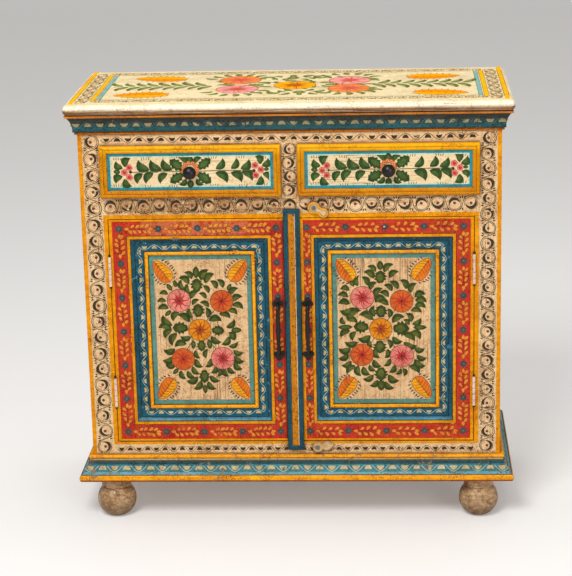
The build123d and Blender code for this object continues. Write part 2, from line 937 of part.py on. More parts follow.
for name, side in SIDES:
    box_x = widened(beside(side, muntin_half, opening_half), -drawer_side_play)
    inner_x = widened(box_x, -drawer_side_thickness)
    lip_x = beside(side, lip_x_inner, lip_x_outer)
    knob_place = (sum(lip_x) / 2, knob_height)
    bottom_x = widened(inner_x, drawer_groove_depth)

    with BuildPart() as drawer_front:
        block(lip_x, (lip_front, face - drawer_lip_gap), lip_z)
        block(box_x, (face - drawer_lip_gap, block_back), box_z)
        for end_x in ((box_x[0], inner_x[0]), (inner_x[1], box_x[1])):
            block(end_x, (side_front, block_back), box_z, mode=Mode.SUBTRACT)
        block(
            inner_x,
            (block_back - drawer_groove_depth, block_back),
            bottom_z,
            mode=Mode.SUBTRACT,
        )
        round_bar(
            knob_place,
            knob_screw_radius + knob_screw_hole_play,
            (lip_front, block_back),
            mode=Mode.SUBTRACT,
        )
    save(drawer_front, f"{name}_drawer_front")

    with BuildPart() as drawer_sides:
        for end_x in ((box_x[0], inner_x[0]), (inner_x[1], box_x[1])):
            block(end_x, (side_front, box_back), box_z)
        block(bottom_x, (side_front, box_back), bottom_z, mode=Mode.SUBTRACT)
    save(drawer_sides, f"{name}_drawer_sides")

    with BuildPart() as drawer_back:
        block(inner_x, (box_back - drawer_back_thickness, box_back), (bottom_z[1], box_z[1]))
    save(drawer_back, f"{name}_drawer_back")

    with BuildPart() as drawer_bottom:
        block(
            widened(bottom_x, -joint_fit),
            (block_back, box_back),
            bottom_z,
        )
        block(
            widened(inner_x, -joint_fit),
            (block_back - drawer_groove_depth + joint_fit, block_back),
            bottom_z,
        )
    save(drawer_bottom, f"{name}_drawer_bottom")

    moulding_lengths = mitred_frame(
        lip_x,
        lip_z,
        lip_front,
        drawer_moulding_section.sketch,
        drawer_moulding_width,
        drawer_moulding_height,
    )
    with BuildPart() as drawer_moulding:
        add(moulding_lengths)
    save(drawer_moulding, f"{name}_drawer_moulding")

    with BuildPart() as knob:
        knob_origin = (knob_place[0], lip_front, knob_place[1])
        with BuildSketch(Plane(origin=knob_origin, x_dir=(1, 0, 0), z_dir=(0, 0, 1))):
            foot_rim = (knob_base_radius, -knob_base_height)
            head_rim = (knob_base_radius, -knob_head_height)
            widest_rim = (knob_radius, -knob_widest_height)
            with BuildLine():
                Polyline((0, -knob_length), (0, 0), (knob_base_radius, 0), foot_rim)
                ThreePointArc(foot_rim, (knob_neck_radius, -knob_neck_height), head_rim)
                ThreePointArc(head_rim, (knob_flare_radius, -knob_flare_height), widest_rim)
                TangentArc((0, -knob_length), widest_rim, tangent=(1, 0))
            make_face()
        revolve(axis=Axis(knob_origin, (0, 1, 0)))
        round_bar(
            knob_place,
            knob_screw_radius,
            (lip_front - knob_screw_depth, lip_front),
            mode=Mode.SUBTRACT,
        )
    save(knob, f"{name}_drawer_knob")

    with BuildPart() as knob_screw:
        round_bar(knob_place, knob_screw_radius, (lip_front - knob_screw_depth, block_back))
        round_bar(
            knob_place,
            knob_screw_head_radius,
            (block_back, block_back + knob_screw_head_height),
        )
    save(knob_screw, f"{name}_drawer_knob_screw")

# ---------------------------------------------------------------- turn buttons
with BuildPart() as top_turn_button:
    with BuildSketch(front_plane(top_pivot, button_back, top_button_angle)) as peanut:
        Circle(top_button_head_radius)
        with Locations((0, -top_button_length)):
            Circle(top_button_tail_radius)
        with Locations((0, -top_button_length / 2)):
            Rectangle(top_button_waist, top_button_length)
        fillet(peanut.vertices(), radius=top_button_waist_radius)
    extrude(amount=button_thickness)
    fillet(
        top_turn_button.faces().sort_by(Axis.Y)[0].edges(),
        radius=button_edge_radius,
    )
    with BuildSketch(front_plane(top_pivot, button_front + button_recess, top_button_angle)):
        add(peanut.sketch_local)
        offset(amount=-button_rim, mode=Mode.REPLACE)
    extrude(amount=button_recess, mode=Mode.SUBTRACT)
    round_bar(
        top_pivot,
        button_screw_radius + button_screw_play,
        (button_front, button_back),
        mode=Mode.SUBTRACT,
    )
save(top_turn_button, "top_turn_button")

with BuildPart() as bottom_turn_button:
    with BuildSketch(front_plane(bottom_pivot, button_back, -bottom_button_angle)) as leaf:
        with BuildLine():
            ThreePointArc(
                (0, bottom_button_leaf_root),
                (
                    bottom_button_leaf_width / 2,
                    (bottom_button_leaf_root + bottom_button_leaf_length) / 2,
                ),
                (0, bottom_button_leaf_length),
            )
            ThreePointArc(
                (0, bottom_button_leaf_length),
                (
                    -bottom_button_leaf_width / 2,
                    (bottom_button_leaf_root + bottom_button_leaf_length) / 2,
                ),
                (0, bottom_button_leaf_root),
            )
        make_face()
        Circle(bottom_button_head_radius)
    extrude(amount=button_thickness)
    chamfer(
        bottom_turn_button.faces().sort_by(Axis.Y)[0].edges(),
        length=button_edge_radius,
    )
    round_bar(
        bottom_pivot,
        button_screw_radius + button_screw_play,
        (button_front, button_back),
        mode=Mode.SUBTRACT,
    )
save(bottom_turn_button, "bottom_turn_button")

with BuildPart() as turn_button_screws:
    head_back = button_front - button_screw_head_gap
    for pivot in (top_pivot, bottom_pivot):
        round_bar(pivot, button_screw_radius, (head_back, face + button_screw_length))
        round_bar(
            pivot,
            button_screw_head_radius,
            (head_back - button_screw_head_height, head_back),
        )
save(turn_button_screws, "turn_button_screws")
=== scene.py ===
# %% [markdown]
# A hand-painted sideboard, finished in Blender.
# The carpentry comes in ready made: every board, moulding, hinge and knob is already a mesh in its
# right place. What this lesson adds is what the painter and the years added: a ground colour on
# each board, borders, scrolls, leaves and flowers laid on top with a brush, and the wear of use.
# Each painted motif is a thin raised film of paint with its own mesh, so that it stays crisp from
# close by, and each ground colour is a procedural material.

# %% Load the carpentry
import math
import random

import bpy
from mathutils import Matrix, Vector


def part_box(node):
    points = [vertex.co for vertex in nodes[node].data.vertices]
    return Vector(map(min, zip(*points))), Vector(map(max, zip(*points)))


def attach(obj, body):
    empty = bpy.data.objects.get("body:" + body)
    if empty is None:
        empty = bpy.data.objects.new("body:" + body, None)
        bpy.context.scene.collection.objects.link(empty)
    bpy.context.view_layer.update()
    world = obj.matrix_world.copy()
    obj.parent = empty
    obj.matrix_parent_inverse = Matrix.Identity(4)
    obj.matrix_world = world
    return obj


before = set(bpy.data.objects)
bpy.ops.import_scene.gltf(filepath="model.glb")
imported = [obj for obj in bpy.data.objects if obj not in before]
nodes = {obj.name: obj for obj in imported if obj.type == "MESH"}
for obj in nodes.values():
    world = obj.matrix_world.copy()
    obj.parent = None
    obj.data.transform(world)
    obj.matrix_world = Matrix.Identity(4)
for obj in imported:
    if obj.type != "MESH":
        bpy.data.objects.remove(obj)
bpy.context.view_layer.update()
MM = 0.001
random.seed(7)
print("boards and fittings:", len(nodes))


# %% [markdown]
# The camera stands a little to the right of the middle and looks down on the top. A long lens from
# four metres keeps the upright edges nearly parallel, as in a catalogue picture. Its directions are
# worked out from a tilt, a turn and a slight roll, which is easier to adjust than a matrix.

# %% Camera
CAMERA_PLACE = Vector((0.2090, -4.0051, 1.5864))
CAMERA_LENS = 122.1
CAMERA_PITCH = math.radians(15.83)
CAMERA_YAW = math.radians(3.30)
CAMERA_ROLL = math.radians(-1.34)

level = math.cos(CAMERA_PITCH)
ahead = Vector(
    (-math.sin(CAMERA_YAW) * level, math.cos(CAMERA_YAW) * level, -math.sin(CAMERA_PITCH))
)
level_right = ahead.cross(Vector((0, 0, 1))).normalized()
level_up = level_right.cross(ahead)
camera_right = math.cos(CAMERA_ROLL) * level_right + math.sin(CAMERA_ROLL) * level_up
camera_up = camera_right.cross(ahead)
bpy.ops.object.camera_add(location=CAMERA_PLACE)
camera = bpy.context.object
camera.rotation_euler = Matrix((camera_right, camera_up, -ahead)).transposed().to_euler()
camera.data.lens = CAMERA_LENS
bpy.context.scene.camera = camera
print("camera lens:", CAMERA_LENS, "mm")


# %% [markdown]
# Paint colours look right under plain white light, so the studio is simple: one wide lamp high on
# the left, a weaker one low on the right, a faint one above for the back, and a pale room.

# %% Lamps and room
def lamp(place, target, size, power):
    """A square soft lamp that points at a target."""
    bpy.ops.object.light_add(type="AREA", location=place)
    light = bpy.context.object
    light.data.size = size
    light.data.energy = power
    light.rotation_euler = (Vector(target) - Vector(place)).to_track_quat("-Z", "Y").to_euler()


AIM = (0, 0, 0.45)
ROOM_WHITE = (1.0, 0.985, 0.96, 1)
ROOM_LIGHT = 0.36
lamp(place=(-0.9, -2.9, 3.6), target=AIM, size=1.6, power=122)
lamp(place=(2.4, -3.8, 1.5), target=AIM, size=2.0, power=44)
lamp(place=(0.2, 0.5, 3.2), target=AIM, size=1.8, power=20)

world = bpy.data.worlds.new("pale_room")
bpy.context.scene.world = world
world.use_nodes = True
room = world.node_tree.nodes["Background"]
room.inputs["Color"].default_value = ROOM_WHITE
room.inputs["Strength"].default_value = ROOM_LIGHT
bpy.context.scene.view_settings.view_transform = "Standard"
print("lamps:", len(bpy.data.lights))


# %% [markdown]
# The floor is a wide sheet of paper that sweeps up behind the sideboard: one plane, whose back edge
# is extruded upwards and then bevelled round. The edges are picked by the place of their ends,
# because an edge's number would change with the mesh.

# %% Floor that sweeps up to a wall
FLOOR_HALF = 10.0
FLOOR_MIDDLE = (0, 0.5, 0)
WALL_HEIGHT = 7.0
SWEEP_RADIUS = 3.0
SWEEP_STEPS = 24
NEAR = 0.01


def deselect_all():
    """Leave nothing selected, so that the next operator acts on its own piece alone."""
    bpy.ops.object.select_all(action="DESELECT")


def select_edges(piece, wanted):
    """Go into edit mode with just the edges selected whose two ends both pass a test."""
    bpy.ops.object.mode_set(mode="EDIT")
    bpy.ops.mesh.select_mode(type="EDGE")
    bpy.ops.mesh.select_all(action="DESELECT")
    bpy.ops.object.mode_set(mode="OBJECT")
    corners = piece.data.vertices
    for edge in piece.data.edges:
        edge.select = all(wanted(corners[index].co) for index in edge.vertices)
    bpy.ops.object.mode_set(mode="EDIT")


deselect_all()
bpy.ops.mesh.primitive_plane_add(size=2 * FLOOR_HALF, location=FLOOR_MIDDLE)
floor = bpy.context.object
floor.name = "studio_floor"
bpy.ops.object.transform_apply(location=True)
back_y = max(corner.co.y for corner in floor.data.vertices)
select_edges(floor, lambda place: place.y > back_y - NEAR)
bpy.ops.mesh.extrude_region_move(TRANSFORM_OT_translate={"value": (0, 0, WALL_HEIGHT)})
select_edges(floor, lambda place: place.y > back_y - NEAR and place.z < NEAR)
bpy.ops.mesh.bevel(offset=SWEEP_RADIUS, segments=SWEEP_STEPS)
bpy.ops.object.mode_set(mode="OBJECT")
bpy.ops.object.shade_smooth()
print("floor", 2 * FLOOR_HALF, "m wide, wall at", round(back_y, 2))


# %% [markdown]
# A wall so far away gets little light and would turn grey. The paper therefore glows faintly, but
# only for the rays that come straight from the camera: it looks paler to the eye than it lights.

# %% Pale paper
PAPER_LIFT = 0.2
paper_sheet = bpy.data.materials.new("paper_sheet")
paper_sheet.use_nodes = True
paper = paper_sheet.node_tree
paper_shader = paper.nodes["Principled BSDF"]
paper_shader.inputs["Base Color"].default_value = (0.80, 0.79, 0.78, 1)
paper_shader.inputs["Roughness"].default_value = 0.9
paper_shader.inputs["Emission Color"].default_value = ROOM_WHITE
ray_kind = paper.nodes.new("ShaderNodeLightPath")
lift = paper.nodes.new("ShaderNodeMath")
lift.operation = "MULTIPLY"
lift.inputs[1].default_value = PAPER_LIFT
paper.links.new(ray_kind.outputs["Is Camera Ray"], lift.inputs[0])
paper.links.new(lift.outputs[0], paper_shader.inputs["Emission Strength"])
floor.data.materials.append(paper_sheet)
print("paper glows by", PAPER_LIFT)


# %% [markdown]
# Every finish below is a small graph of nodes. A few helpers keep those graphs short. One adds a
# node and fills its sockets, and the others build on it: they mix two colours, do one step of
# arithmetic, draw a cloudy noise, or stretch a range of values. Another turns the colours of a
# paint chart, given as the 0-255 numbers a screen uses, into the linear values that light needs.

# %% Helpers for node graphs
def chart(red, green, blue):
    """A colour of the paint chart as linear light."""

    def linear(level):
        share = level / 255
        return share / 12.92 if share <= 0.04045 else ((share + 0.055) / 1.055) ** 2.4

    return (linear(red), linear(green), linear(blue), 1.0)


def node(tree, kind, settings=None, **sockets):
    """Add a node, set its options, and fill or link its named sockets."""
    made = tree.nodes.new("ShaderNode" + kind)
    for option, choice in (settings or {}).items():
        setattr(made, option, choice)
    for name, content in sockets.items():
        fill(tree, made.inputs[name.replace("_", " ")], content)
    return made


def fill(tree, socket, content):
    """Link a socket to another node's output, or give it a plain value."""
    if isinstance(content, bpy.types.NodeSocket):
        tree.links.new(content, socket)
    else:
        socket.default_value = content


def mix(tree, share, low, high, blend="MIX"):
    """Mix two colours."""
    made = node(tree, "Mix", {"data_type": "RGBA", "blend_type": blend})
    for index, content in ((0, share), (6, low), (7, high)):
        fill(tree, made.inputs[index], content)
    return made.outputs[2]


def maths(tree, operation, first, second=0.0, clamp=False):
    """One step of arithmetic."""
    made = node(tree, "Math", {"operation": operation, "use_clamp": clamp})
    fill(tree, made.inputs[0], first)
    fill(tree, made.inputs[1], second)
    return made.outputs[0]


def place_maths(tree, operation, first, second=(0.0, 0.0, 0.0)):
    """One step of arithmetic on a place."""
    made = node(tree, "VectorMath", {"operation": operation})
    fill(tree, made.inputs[0], first)
    fill(tree, made.inputs[1], second)
    return made.outputs


def noise(tree, place, scale, detail, rough=0.5, **more):
    """A cloudy pattern: its outputs give a level or a colour for each place."""
    return node(tree, "TexNoise", Vector=place, Scale=scale, Detail=detail, Roughness=rough,
                **more).outputs


def tint(tree, colour, second, mask, strength):
    """Lay a second colour over the first where a mask says so."""
    return mix(tree, maths(tree, "MULTIPLY", mask, strength), colour, second)


def ramp(tree, source, low, high, to_low=0.0, to_high=1.0):
    """Stretch a range of values to another, with smooth ends."""
    made = node(
        tree, "MapRange", {"interpolation_type": "SMOOTHSTEP"}, Value=source, From_Min=low,
        From_Max=high, To_Min=to_low, To_Max=to_high
    )
    return made.outputs[0]


print("a middle grey of the chart is", round(chart(128, 128, 128)[0], 3), "as linear light")


# %% [markdown]
# Effects that several finishes share, such as streaks and chips, are node groups: each is built
# once and placed in every material with its own values. A group needs its sockets named first.

# %% Helpers for node groups
VALUE = "NodeSocketFloat"
PLACE = "NodeSocketVector"


def new_group(name, inputs, outputs):
    """An empty node group with named inputs and outputs, and its two end nodes."""
    tree = bpy.data.node_groups.new(name, "ShaderNodeTree")
    for socket, (kind, default) in inputs.items():
        made = tree.interface.new_socket(name=socket, in_out="INPUT", socket_type=kind)
        if default is not None:
            made.default_value = default
    for socket in outputs:
        tree.interface.new_socket(name=socket, in_out="OUTPUT", socket_type="NodeSocketFloat")
    start = tree.nodes.new("NodeGroupInput").outputs
    end = tree.nodes.new("NodeGroupOutput").inputs
    return tree, start, end


def use_group(tree, group, **sockets):
    """Place a node group in a material."""
    made = tree.nodes.new("ShaderNodeGroup")
    made.node_tree = group
    for name, content in sockets.items():
        fill(tree, made.inputs[name], content)
    return made.outputs


print("helpers for graphs and groups are ready")


# %% [markdown]
# Brushed paint is never even: the bristles leave streaks that follow the length of the board, and
# the pigment pools in patches. The first group draws both. Stretching the coordinates along one
# axis before a noise reads them is what turns round blots into streaks.

# %% Node group: brush streaks
brush_streaks, given, result = new_group(
    "brush_streaks",
    {"Place": (PLACE, None), "Stretch": (PLACE, (400.0, 400.0, 8.0))},
    ["Streaks", "Patches"],
)
stretched = place_maths(brush_streaks, "MULTIPLY", given["Place"], given["Stretch"])[0]
streak_noise = noise(brush_streaks, stretched, 1.0, 4.0, 0.62)[0]
patch_noise = noise(brush_streaks, given["Place"], 17.0, 3.0, 0.55)[0]
fill(brush_streaks, result["Streaks"], ramp(brush_streaks, streak_noise, 0.32, 0.68))
fill(brush_streaks, result["Patches"], ramp(brush_streaks, patch_noise, 0.34, 0.66))
print(brush_streaks.name, "has", len(brush_streaks.nodes), "nodes")


# %% [markdown]
# Paint wears off first where hands and cloths rub, which is along the sharp edges. A Bevel node
# rounds the normal near an edge, so where it differs from the real normal there is an edge. The
# corners are painted darker: partly dust and old varnish that gather there, partly painted shade.
# Ambient occlusion finds them, because a corner sees little of the room around it.

# %% Node groups: sharp edges, and corners darkened with dust and painted shade
sharp_edges, given, result = new_group("sharp_edges", {"Reach": (VALUE, 0.0016)}, ["Edge"])
rounded = node(sharp_edges, "Bevel", {"samples": 4}, Radius=given["Reach"])
normal = node(sharp_edges, "NewGeometry").outputs["Normal"]
likeness = place_maths(sharp_edges, "DOT_PRODUCT", rounded.outputs[0], normal)["Value"]
fill(sharp_edges, result["Edge"], ramp(sharp_edges, likeness, 0.995, 0.86))

corner_dust_and_shade, given, result = new_group(
    "corner_dust_and_shade", {"Place": (PLACE, None), "Reach": (VALUE, 0.007)}, ["Dirt"]
)
# Painted shade: occlusion darkens the corners, and a noise mixes dust into it.
shelter = node(corner_dust_and_shade, "AmbientOcclusion", {"samples": 6}, Distance=given["Reach"])
sheltered = ramp(corner_dust_and_shade, shelter.outputs["AO"], 0.95, 0.5)
dust_noise = noise(corner_dust_and_shade, given["Place"], 60.0, 4.0)[0]
uneven = ramp(corner_dust_and_shade, dust_noise, 0.2, 0.65, 0.55, 1.0)
fill(corner_dust_and_shade, result["Dirt"], maths(corner_dust_and_shade, "MULTIPLY", sheltered, uneven))
print("edges and corners:", len(sharp_edges.nodes), "and", len(corner_dust_and_shade.nodes), "nodes")


# %% [markdown]
# Small chips are scattered everywhere, and much more where the paint is rubbed. One noise decides:
# the more a place is rubbed, the lower the level at which the noise cuts through to what is under
# the paint. A second, finer noise gives the dark specks that old varnish is full of.

# %% Node groups: chipped paint and specks
chipped_paint, given, result = new_group(
    "chipped_paint", {"Place": (PLACE, None), "Rub": (VALUE, 0.1)}, ["Worn"]
)
rub_noise = noise(chipped_paint, given["Place"], 55.0, 5.0, 0.7)[0]
level = maths(chipped_paint, "ADD", given["Rub"], rub_noise)
fill(chipped_paint, result["Worn"], ramp(chipped_paint, level, 0.80, 0.84))

dark_specks, given, result = new_group(
    "dark_specks", {"Place": (PLACE, None)}, ["Specks", "Mottle"]
)
speck_noise = noise(dark_specks, given["Place"], 330.0, 2.0, 0.6)[0]
cloud_noise = noise(dark_specks, given["Place"], 24.0, 3.0)[0]
level = maths(dark_specks, "ADD", speck_noise, maths(dark_specks, "MULTIPLY", cloud_noise, 0.5))
fill(dark_specks, result["Specks"], ramp(dark_specks, level, 0.76, 0.96))
mottle_noise = noise(dark_specks, given["Place"], 105.0, 5.0, 0.78)[0]
fill(dark_specks, result["Mottle"], ramp(dark_specks, mottle_noise, 0.46, 0.66))
print("chips and specks:", len(chipped_paint.nodes), "and", len(dark_specks.nodes), "nodes")


# %% [markdown]
# The boards under the paint move with the seasons, and the paint on them splits in fine dark lines
# along the grain. Very long, thin noise cut at a high level gives such lines, and a slow second
# noise leaves whole areas without any.

# %% Node group: grain cracks
grain_cracks, given, result = new_group(
    "grain_cracks",
    {"Place": (PLACE, None), "Stretch": (PLACE, (520.0, 520.0, 16.0)), "Amount": (VALUE, 0.5)},
    ["Cracks"],
)
stretched = place_maths(grain_cracks, "MULTIPLY", given["Place"], given["Stretch"])[0]
line_noise = noise(grain_cracks, stretched, 1.0, 3.0, 0.75)[0]
area_noise = noise(grain_cracks, given["Place"], 9.0, 2.0)[0]
area = maths(grain_cracks, "MULTIPLY", ramp(grain_cracks, area_noise, 0.3, 0.7), 0.12)
level = maths(grain_cracks, "ADD", line_noise, area)
level = maths(grain_cracks, "ADD", level, maths(grain_cracks, "MULTIPLY", given["Amount"], 0.1))
fill(grain_cracks, result["Cracks"], ramp(grain_cracks, level, 0.72, 0.78))
print("node groups:", sorted(group.name for group in bpy.data.node_groups))


# %% [markdown]
# With the groups ready, a painted finish is one function. It takes the paint, a deeper tone of it
# for the streaks, what shows where the paint is gone, and how worn this board is. The bump is
# shallow: streaks stand a little proud and worn places lie a little lower, which catches the light.

# %% Painted finish
BROWN_DIRT_AND_SHADE = chart(92, 62, 36)
CORNER_DUST_AND_SHADE = chart(120, 88, 62)
BARE_EDGE = chart(196, 160, 118)
VARNISH_STAINS = (("Mottle", 1.2, chart(205, 176, 140)), ("Specks", 1.6, chart(150, 112, 76)))
ALONG = {
    "X": (11.0, 460.0, 460.0),
    "Y": (460.0, 11.0, 460.0),
    "Z": (460.0, 460.0, 11.0),
    "round": (110.0, 110.0, 110.0),
}


def new_material(name):
    """A material with an empty graph but for its shader, and the object's own coordinates."""
    material = bpy.data.materials.new(name)
    material.use_nodes = True
    tree = material.node_tree
    shader = tree.nodes["Principled BSDF"]
    place = node(tree, "TexCoord").outputs["Object"]
    return material, tree, shader, place


def lay_on(tree, shader, colour, roughness, height, strength, depth):
    """Feed a shader its colour, its roughness and a shallow bump."""
    fill(tree, shader.inputs["Base Color"], colour)
    fill(tree, shader.inputs["Roughness"], roughness)
    bump = node(tree, "Bump", Strength=strength, Distance=depth, Height=height)
    fill(tree, shader.inputs["Normal"], bump.outputs[0])


def drawn(tree, place, colour):
    """A colour as it is, or drawn in the graph when it comes as a function."""
    return colour(tree, place) if callable(colour) else colour


def painted(name, paint, deep, along="X", under=BARE_EDGE, edges=0.25, chips=0.1, cracks=0.0,
            dirt=0.3, rough=0.5, gloss=0.2):
    """Brushed, aged paint. The paint may be a colour, or a function that draws one in the graph."""
    material, tree, shader, place = new_material(name)
    shader.inputs["Specular IOR Level"].default_value = gloss
    stretch = along(tree, place) if callable(along) else ALONG[along]
    streaks = use_group(tree, brush_streaks, Place=place, Stretch=stretch)
    share = maths(tree, "MULTIPLY", streaks["Streaks"], 0.6)
    share = maths(tree, "ADD", share, maths(tree, "MULTIPLY", streaks["Patches"], 0.35))
    colour = mix(tree, share, drawn(tree, place, paint), drawn(tree, place, deep))
    old_varnish = use_group(tree, dark_specks, Place=place)
    for stain, amount, tone in VARNISH_STAINS:
        stained = mix(tree, 1.0, colour, tone, "MULTIPLY")
        strength = maths(tree, "MULTIPLY", old_varnish[stain], amount * dirt, clamp=True)
        colour = mix(tree, strength, colour, stained)
    if cracks:
        split = use_group(tree, grain_cracks, Place=place, Stretch=stretch, Amount=cracks)["Cracks"]
        colour = tint(tree, colour, BROWN_DIRT_AND_SHADE, split, 0.75)
    rub = maths(tree, "MULTIPLY", streaks["Patches"], 0.3 * chips)
    rub = maths(tree, "ADD", rub, 0.3 * chips)
    if edges:
        edge = use_group(tree, sharp_edges)["Edge"]
        rub = maths(tree, "ADD", rub, maths(tree, "MULTIPLY", edge, edges))
        # Corners and crevices are painted darker: partly dust, partly painted shade.
        corner = use_group(tree, corner_dust_and_shade, Place=place)["Dirt"]
        colour = tint(tree, colour, mix(tree, 1.0, colour, CORNER_DUST_AND_SHADE, "MULTIPLY"), corner, 0.85)
    worn = use_group(tree, chipped_paint, Place=place, Rub=rub)["Worn"]
    colour = tint(tree, colour, under, worn, 0.85)
    roughness = ramp(tree, streaks["Streaks"], 0, 1, rough - 0.06, rough + 0.08)
    height = maths(tree, "SUBTRACT", streaks["Streaks"], maths(tree, "MULTIPLY", worn, 1.6))
    lay_on(tree, shader, colour, roughness, height, strength=0.35, depth=0.4 * MM)
    return material


print("streaks along", sorted(ALONG))


# %% [markdown]
# Some boards carry more than one colour. A cornice has a yellow bead, a blue hollow and a yellow
# fillet above one another, and the lip of a drawer is cream in front and yellow round its edge.
# Bands of height are the simplest test for the first, and for the second the way a face looks.

# %% Colours by height and by side
def bands(axis, levels, colours):
    """Colours that change at given places along one axis, from low to high."""

    def draw(tree, place):
        level = node(tree, "SeparateXYZ", Vector=place).outputs[axis]
        colour = colours[0]
        for step, following in zip(levels, colours[1:]):
            colour = mix(tree, maths(tree, "GREATER_THAN", level, step), colour, following)
        return colour

    return draw


def facing_front(front_colour, rim_colour, back_colour, back_place):
    """One colour on the front, one round the rim and one behind a depth along Y."""

    def draw(tree, place):
        normal = node(tree, "NewGeometry").outputs["Normal"]
        toward = node(tree, "SeparateXYZ", Vector=normal).outputs["Y"]
        depth = node(tree, "SeparateXYZ", Vector=place).outputs["Y"]
        in_front = maths(tree, "LESS_THAN", toward, -0.7)
        colour = mix(tree, in_front, rim_colour, front_colour)
        return mix(tree, maths(tree, "GREATER_THAN", depth, back_place), colour, back_colour)

    return draw


def fade_and_shade_patch(colour, pale, centre, size):
    """A colour that turns to another in one uneven place, for bleaching and for soot with painted
    shade.
    """

    def draw(tree, place):
        off = place_maths(tree, "SUBTRACT", place, centre)[0]
        far = place_maths(tree, "LENGTH", place_maths(tree, "DIVIDE", off, size)[0])["Value"]
        near = ramp(tree, far, 1.0, 0.35)
        blots = noise(tree, place, 70.0, 6.0, 0.75)[0]
        level = maths(tree, "ADD", blots, maths(tree, "MULTIPLY", near, 0.22))
        return mix(tree, maths(tree, "MULTIPLY", ramp(tree, level, 0.60, 0.72), near), colour, pale)

    return draw


def edge_light_and_shade(colour, upper, lower, frame_name, width):
    """A frame with a tone of its own along its upper edge and another along its lower one: painted
    light and shade.
    """
    low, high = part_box(frame_name)

    def draw(tree, place):
        level = node(tree, "SeparateXYZ", Vector=place).outputs["Z"]
        above = ramp(tree, level, high.z - width, high.z)
        below = ramp(tree, level, low.z + width, low.z + 0.3 * width)
        return tint(tree, tint(tree, colour, upper, above, 0.8), lower, below, 0.7)

    return draw


def worn_and_lit_nose(colour, rubbed):
    """A board whose lower edge is rubbed brown in long streaks, and whose upper edge is painted
    paler as a highlight.
    """
    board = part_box("top_board")
    middle = (board[0].z + board[1].z) / 2

    def draw(tree, place):
        level = node(tree, "SeparateXYZ", Vector=place).outputs["Z"]
        low = ramp(tree, level, board[1].z - 6 * MM, middle - 3 * MM)
        long = place_maths(tree, "MULTIPLY", place, (9.0, 9.0, 620.0))[0]
        streak = noise(tree, long, 1.0, 5.0, 0.7)[0]
        share = maths(tree, "MULTIPLY", low, ramp(tree, streak, 0.22, 0.52))
        # Painted highlight: the upper edge of the nose is mixed towards near white.
        pale = ramp(tree, level, board[1].z - 0.4 * MM, board[1].z - 2.5 * MM)
        return mix(tree, share, tint(tree, colour, chart(255, 248, 226), pale, 0.7), rubbed)

    return draw


def mitred(node_name):
    """Streaks that follow each length of a mitred frame: level above and below, upright beside."""
    low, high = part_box(node_name)
    middle = (low + high) / 2

    def draw(tree, place):
        parts = node(tree, "SeparateXYZ", Vector=place).outputs
        reach = []
        for axis, index in (("X", 0), ("Z", 2)):
            off = maths(tree, "ABSOLUTE", maths(tree, "SUBTRACT", parts[axis], middle[index]))
            half = (high[index] - low[index]) / 2
            reach.append(maths(tree, "SUBTRACT", half, off))
        upright = maths(tree, "LESS_THAN", reach[0], reach[1])
        return mix(tree, upright, (*ALONG["X"], 1), (*ALONG["Z"], 1))

    return draw


# %% [markdown]
# Inside, the boards were left bare. Bare wood is drawn from two stretched noises: broad ones for
# the year rings and fine ones for the pores.

# %% Bare wood
WOOD_PALE = chart(196, 150, 100)
WOOD_DARK = chart(148, 100, 60)


def bare_wood(name, along):
    """Unpainted boards with year rings and pores along one axis."""
    material, tree, shader, place = new_material(name)
    broad = tuple(share * 0.16 if share > 100 else share * 0.25 for share in ALONG[along])
    rings = noise(tree, place_maths(tree, "MULTIPLY", place, broad)[0], 1.0, 3.0, Distortion=0.6)[0]
    streaks = use_group(tree, brush_streaks, Place=place, Stretch=ALONG[along])
    colour = mix(tree, ramp(tree, rings, 0.35, 0.65), WOOD_PALE, WOOD_DARK)
    pores = use_group(
        tree, grain_cracks, Place=place, Stretch=tuple(2 * share for share in ALONG[along]),
        Amount=0.4
    )["Cracks"]
    colour = tint(tree, colour, BROWN_DIRT_AND_SHADE, pores, 0.6)
    colour = tint(tree, colour, WOOD_DARK, streaks["Patches"], 0.25)
    roughness = ramp(tree, streaks["Streaks"], 0, 1, 0.55, 0.75)
    height = maths(tree, "SUBTRACT", streaks["Streaks"], pores)
    lay_on(tree, shader, colour, roughness, height, strength=0.4, depth=0.3 * MM)
    return material


wood = {axis: bare_wood(f"bare_wood_{axis}", axis) for axis in "XYZ"}
print("bare wood along", sorted(wood))


# %% [markdown]
# The turned feet once had a thin cream coat. It has crackled and rubbed away to pale and dark
# patches, and at the neck it is darker. Near the floor it is painted darker still, as shade. Cells
# of a Voronoi texture, read at places that a noise has bent, give the crackle.

# %% Worn feet
FOOT_CREAM = (chart(206, 172, 128), chart(168, 126, 82))
FOOT_STAINS_AND_SHADE = {
    "patch": (chart(134, 90, 50), 0.8),
    "split": (chart(98, 66, 42), 0.6),
    # Painted shade near the floor.
    "low": (chart(104, 74, 48), 0.55),
    "neck": (chart(214, 156, 84), 0.6),
}


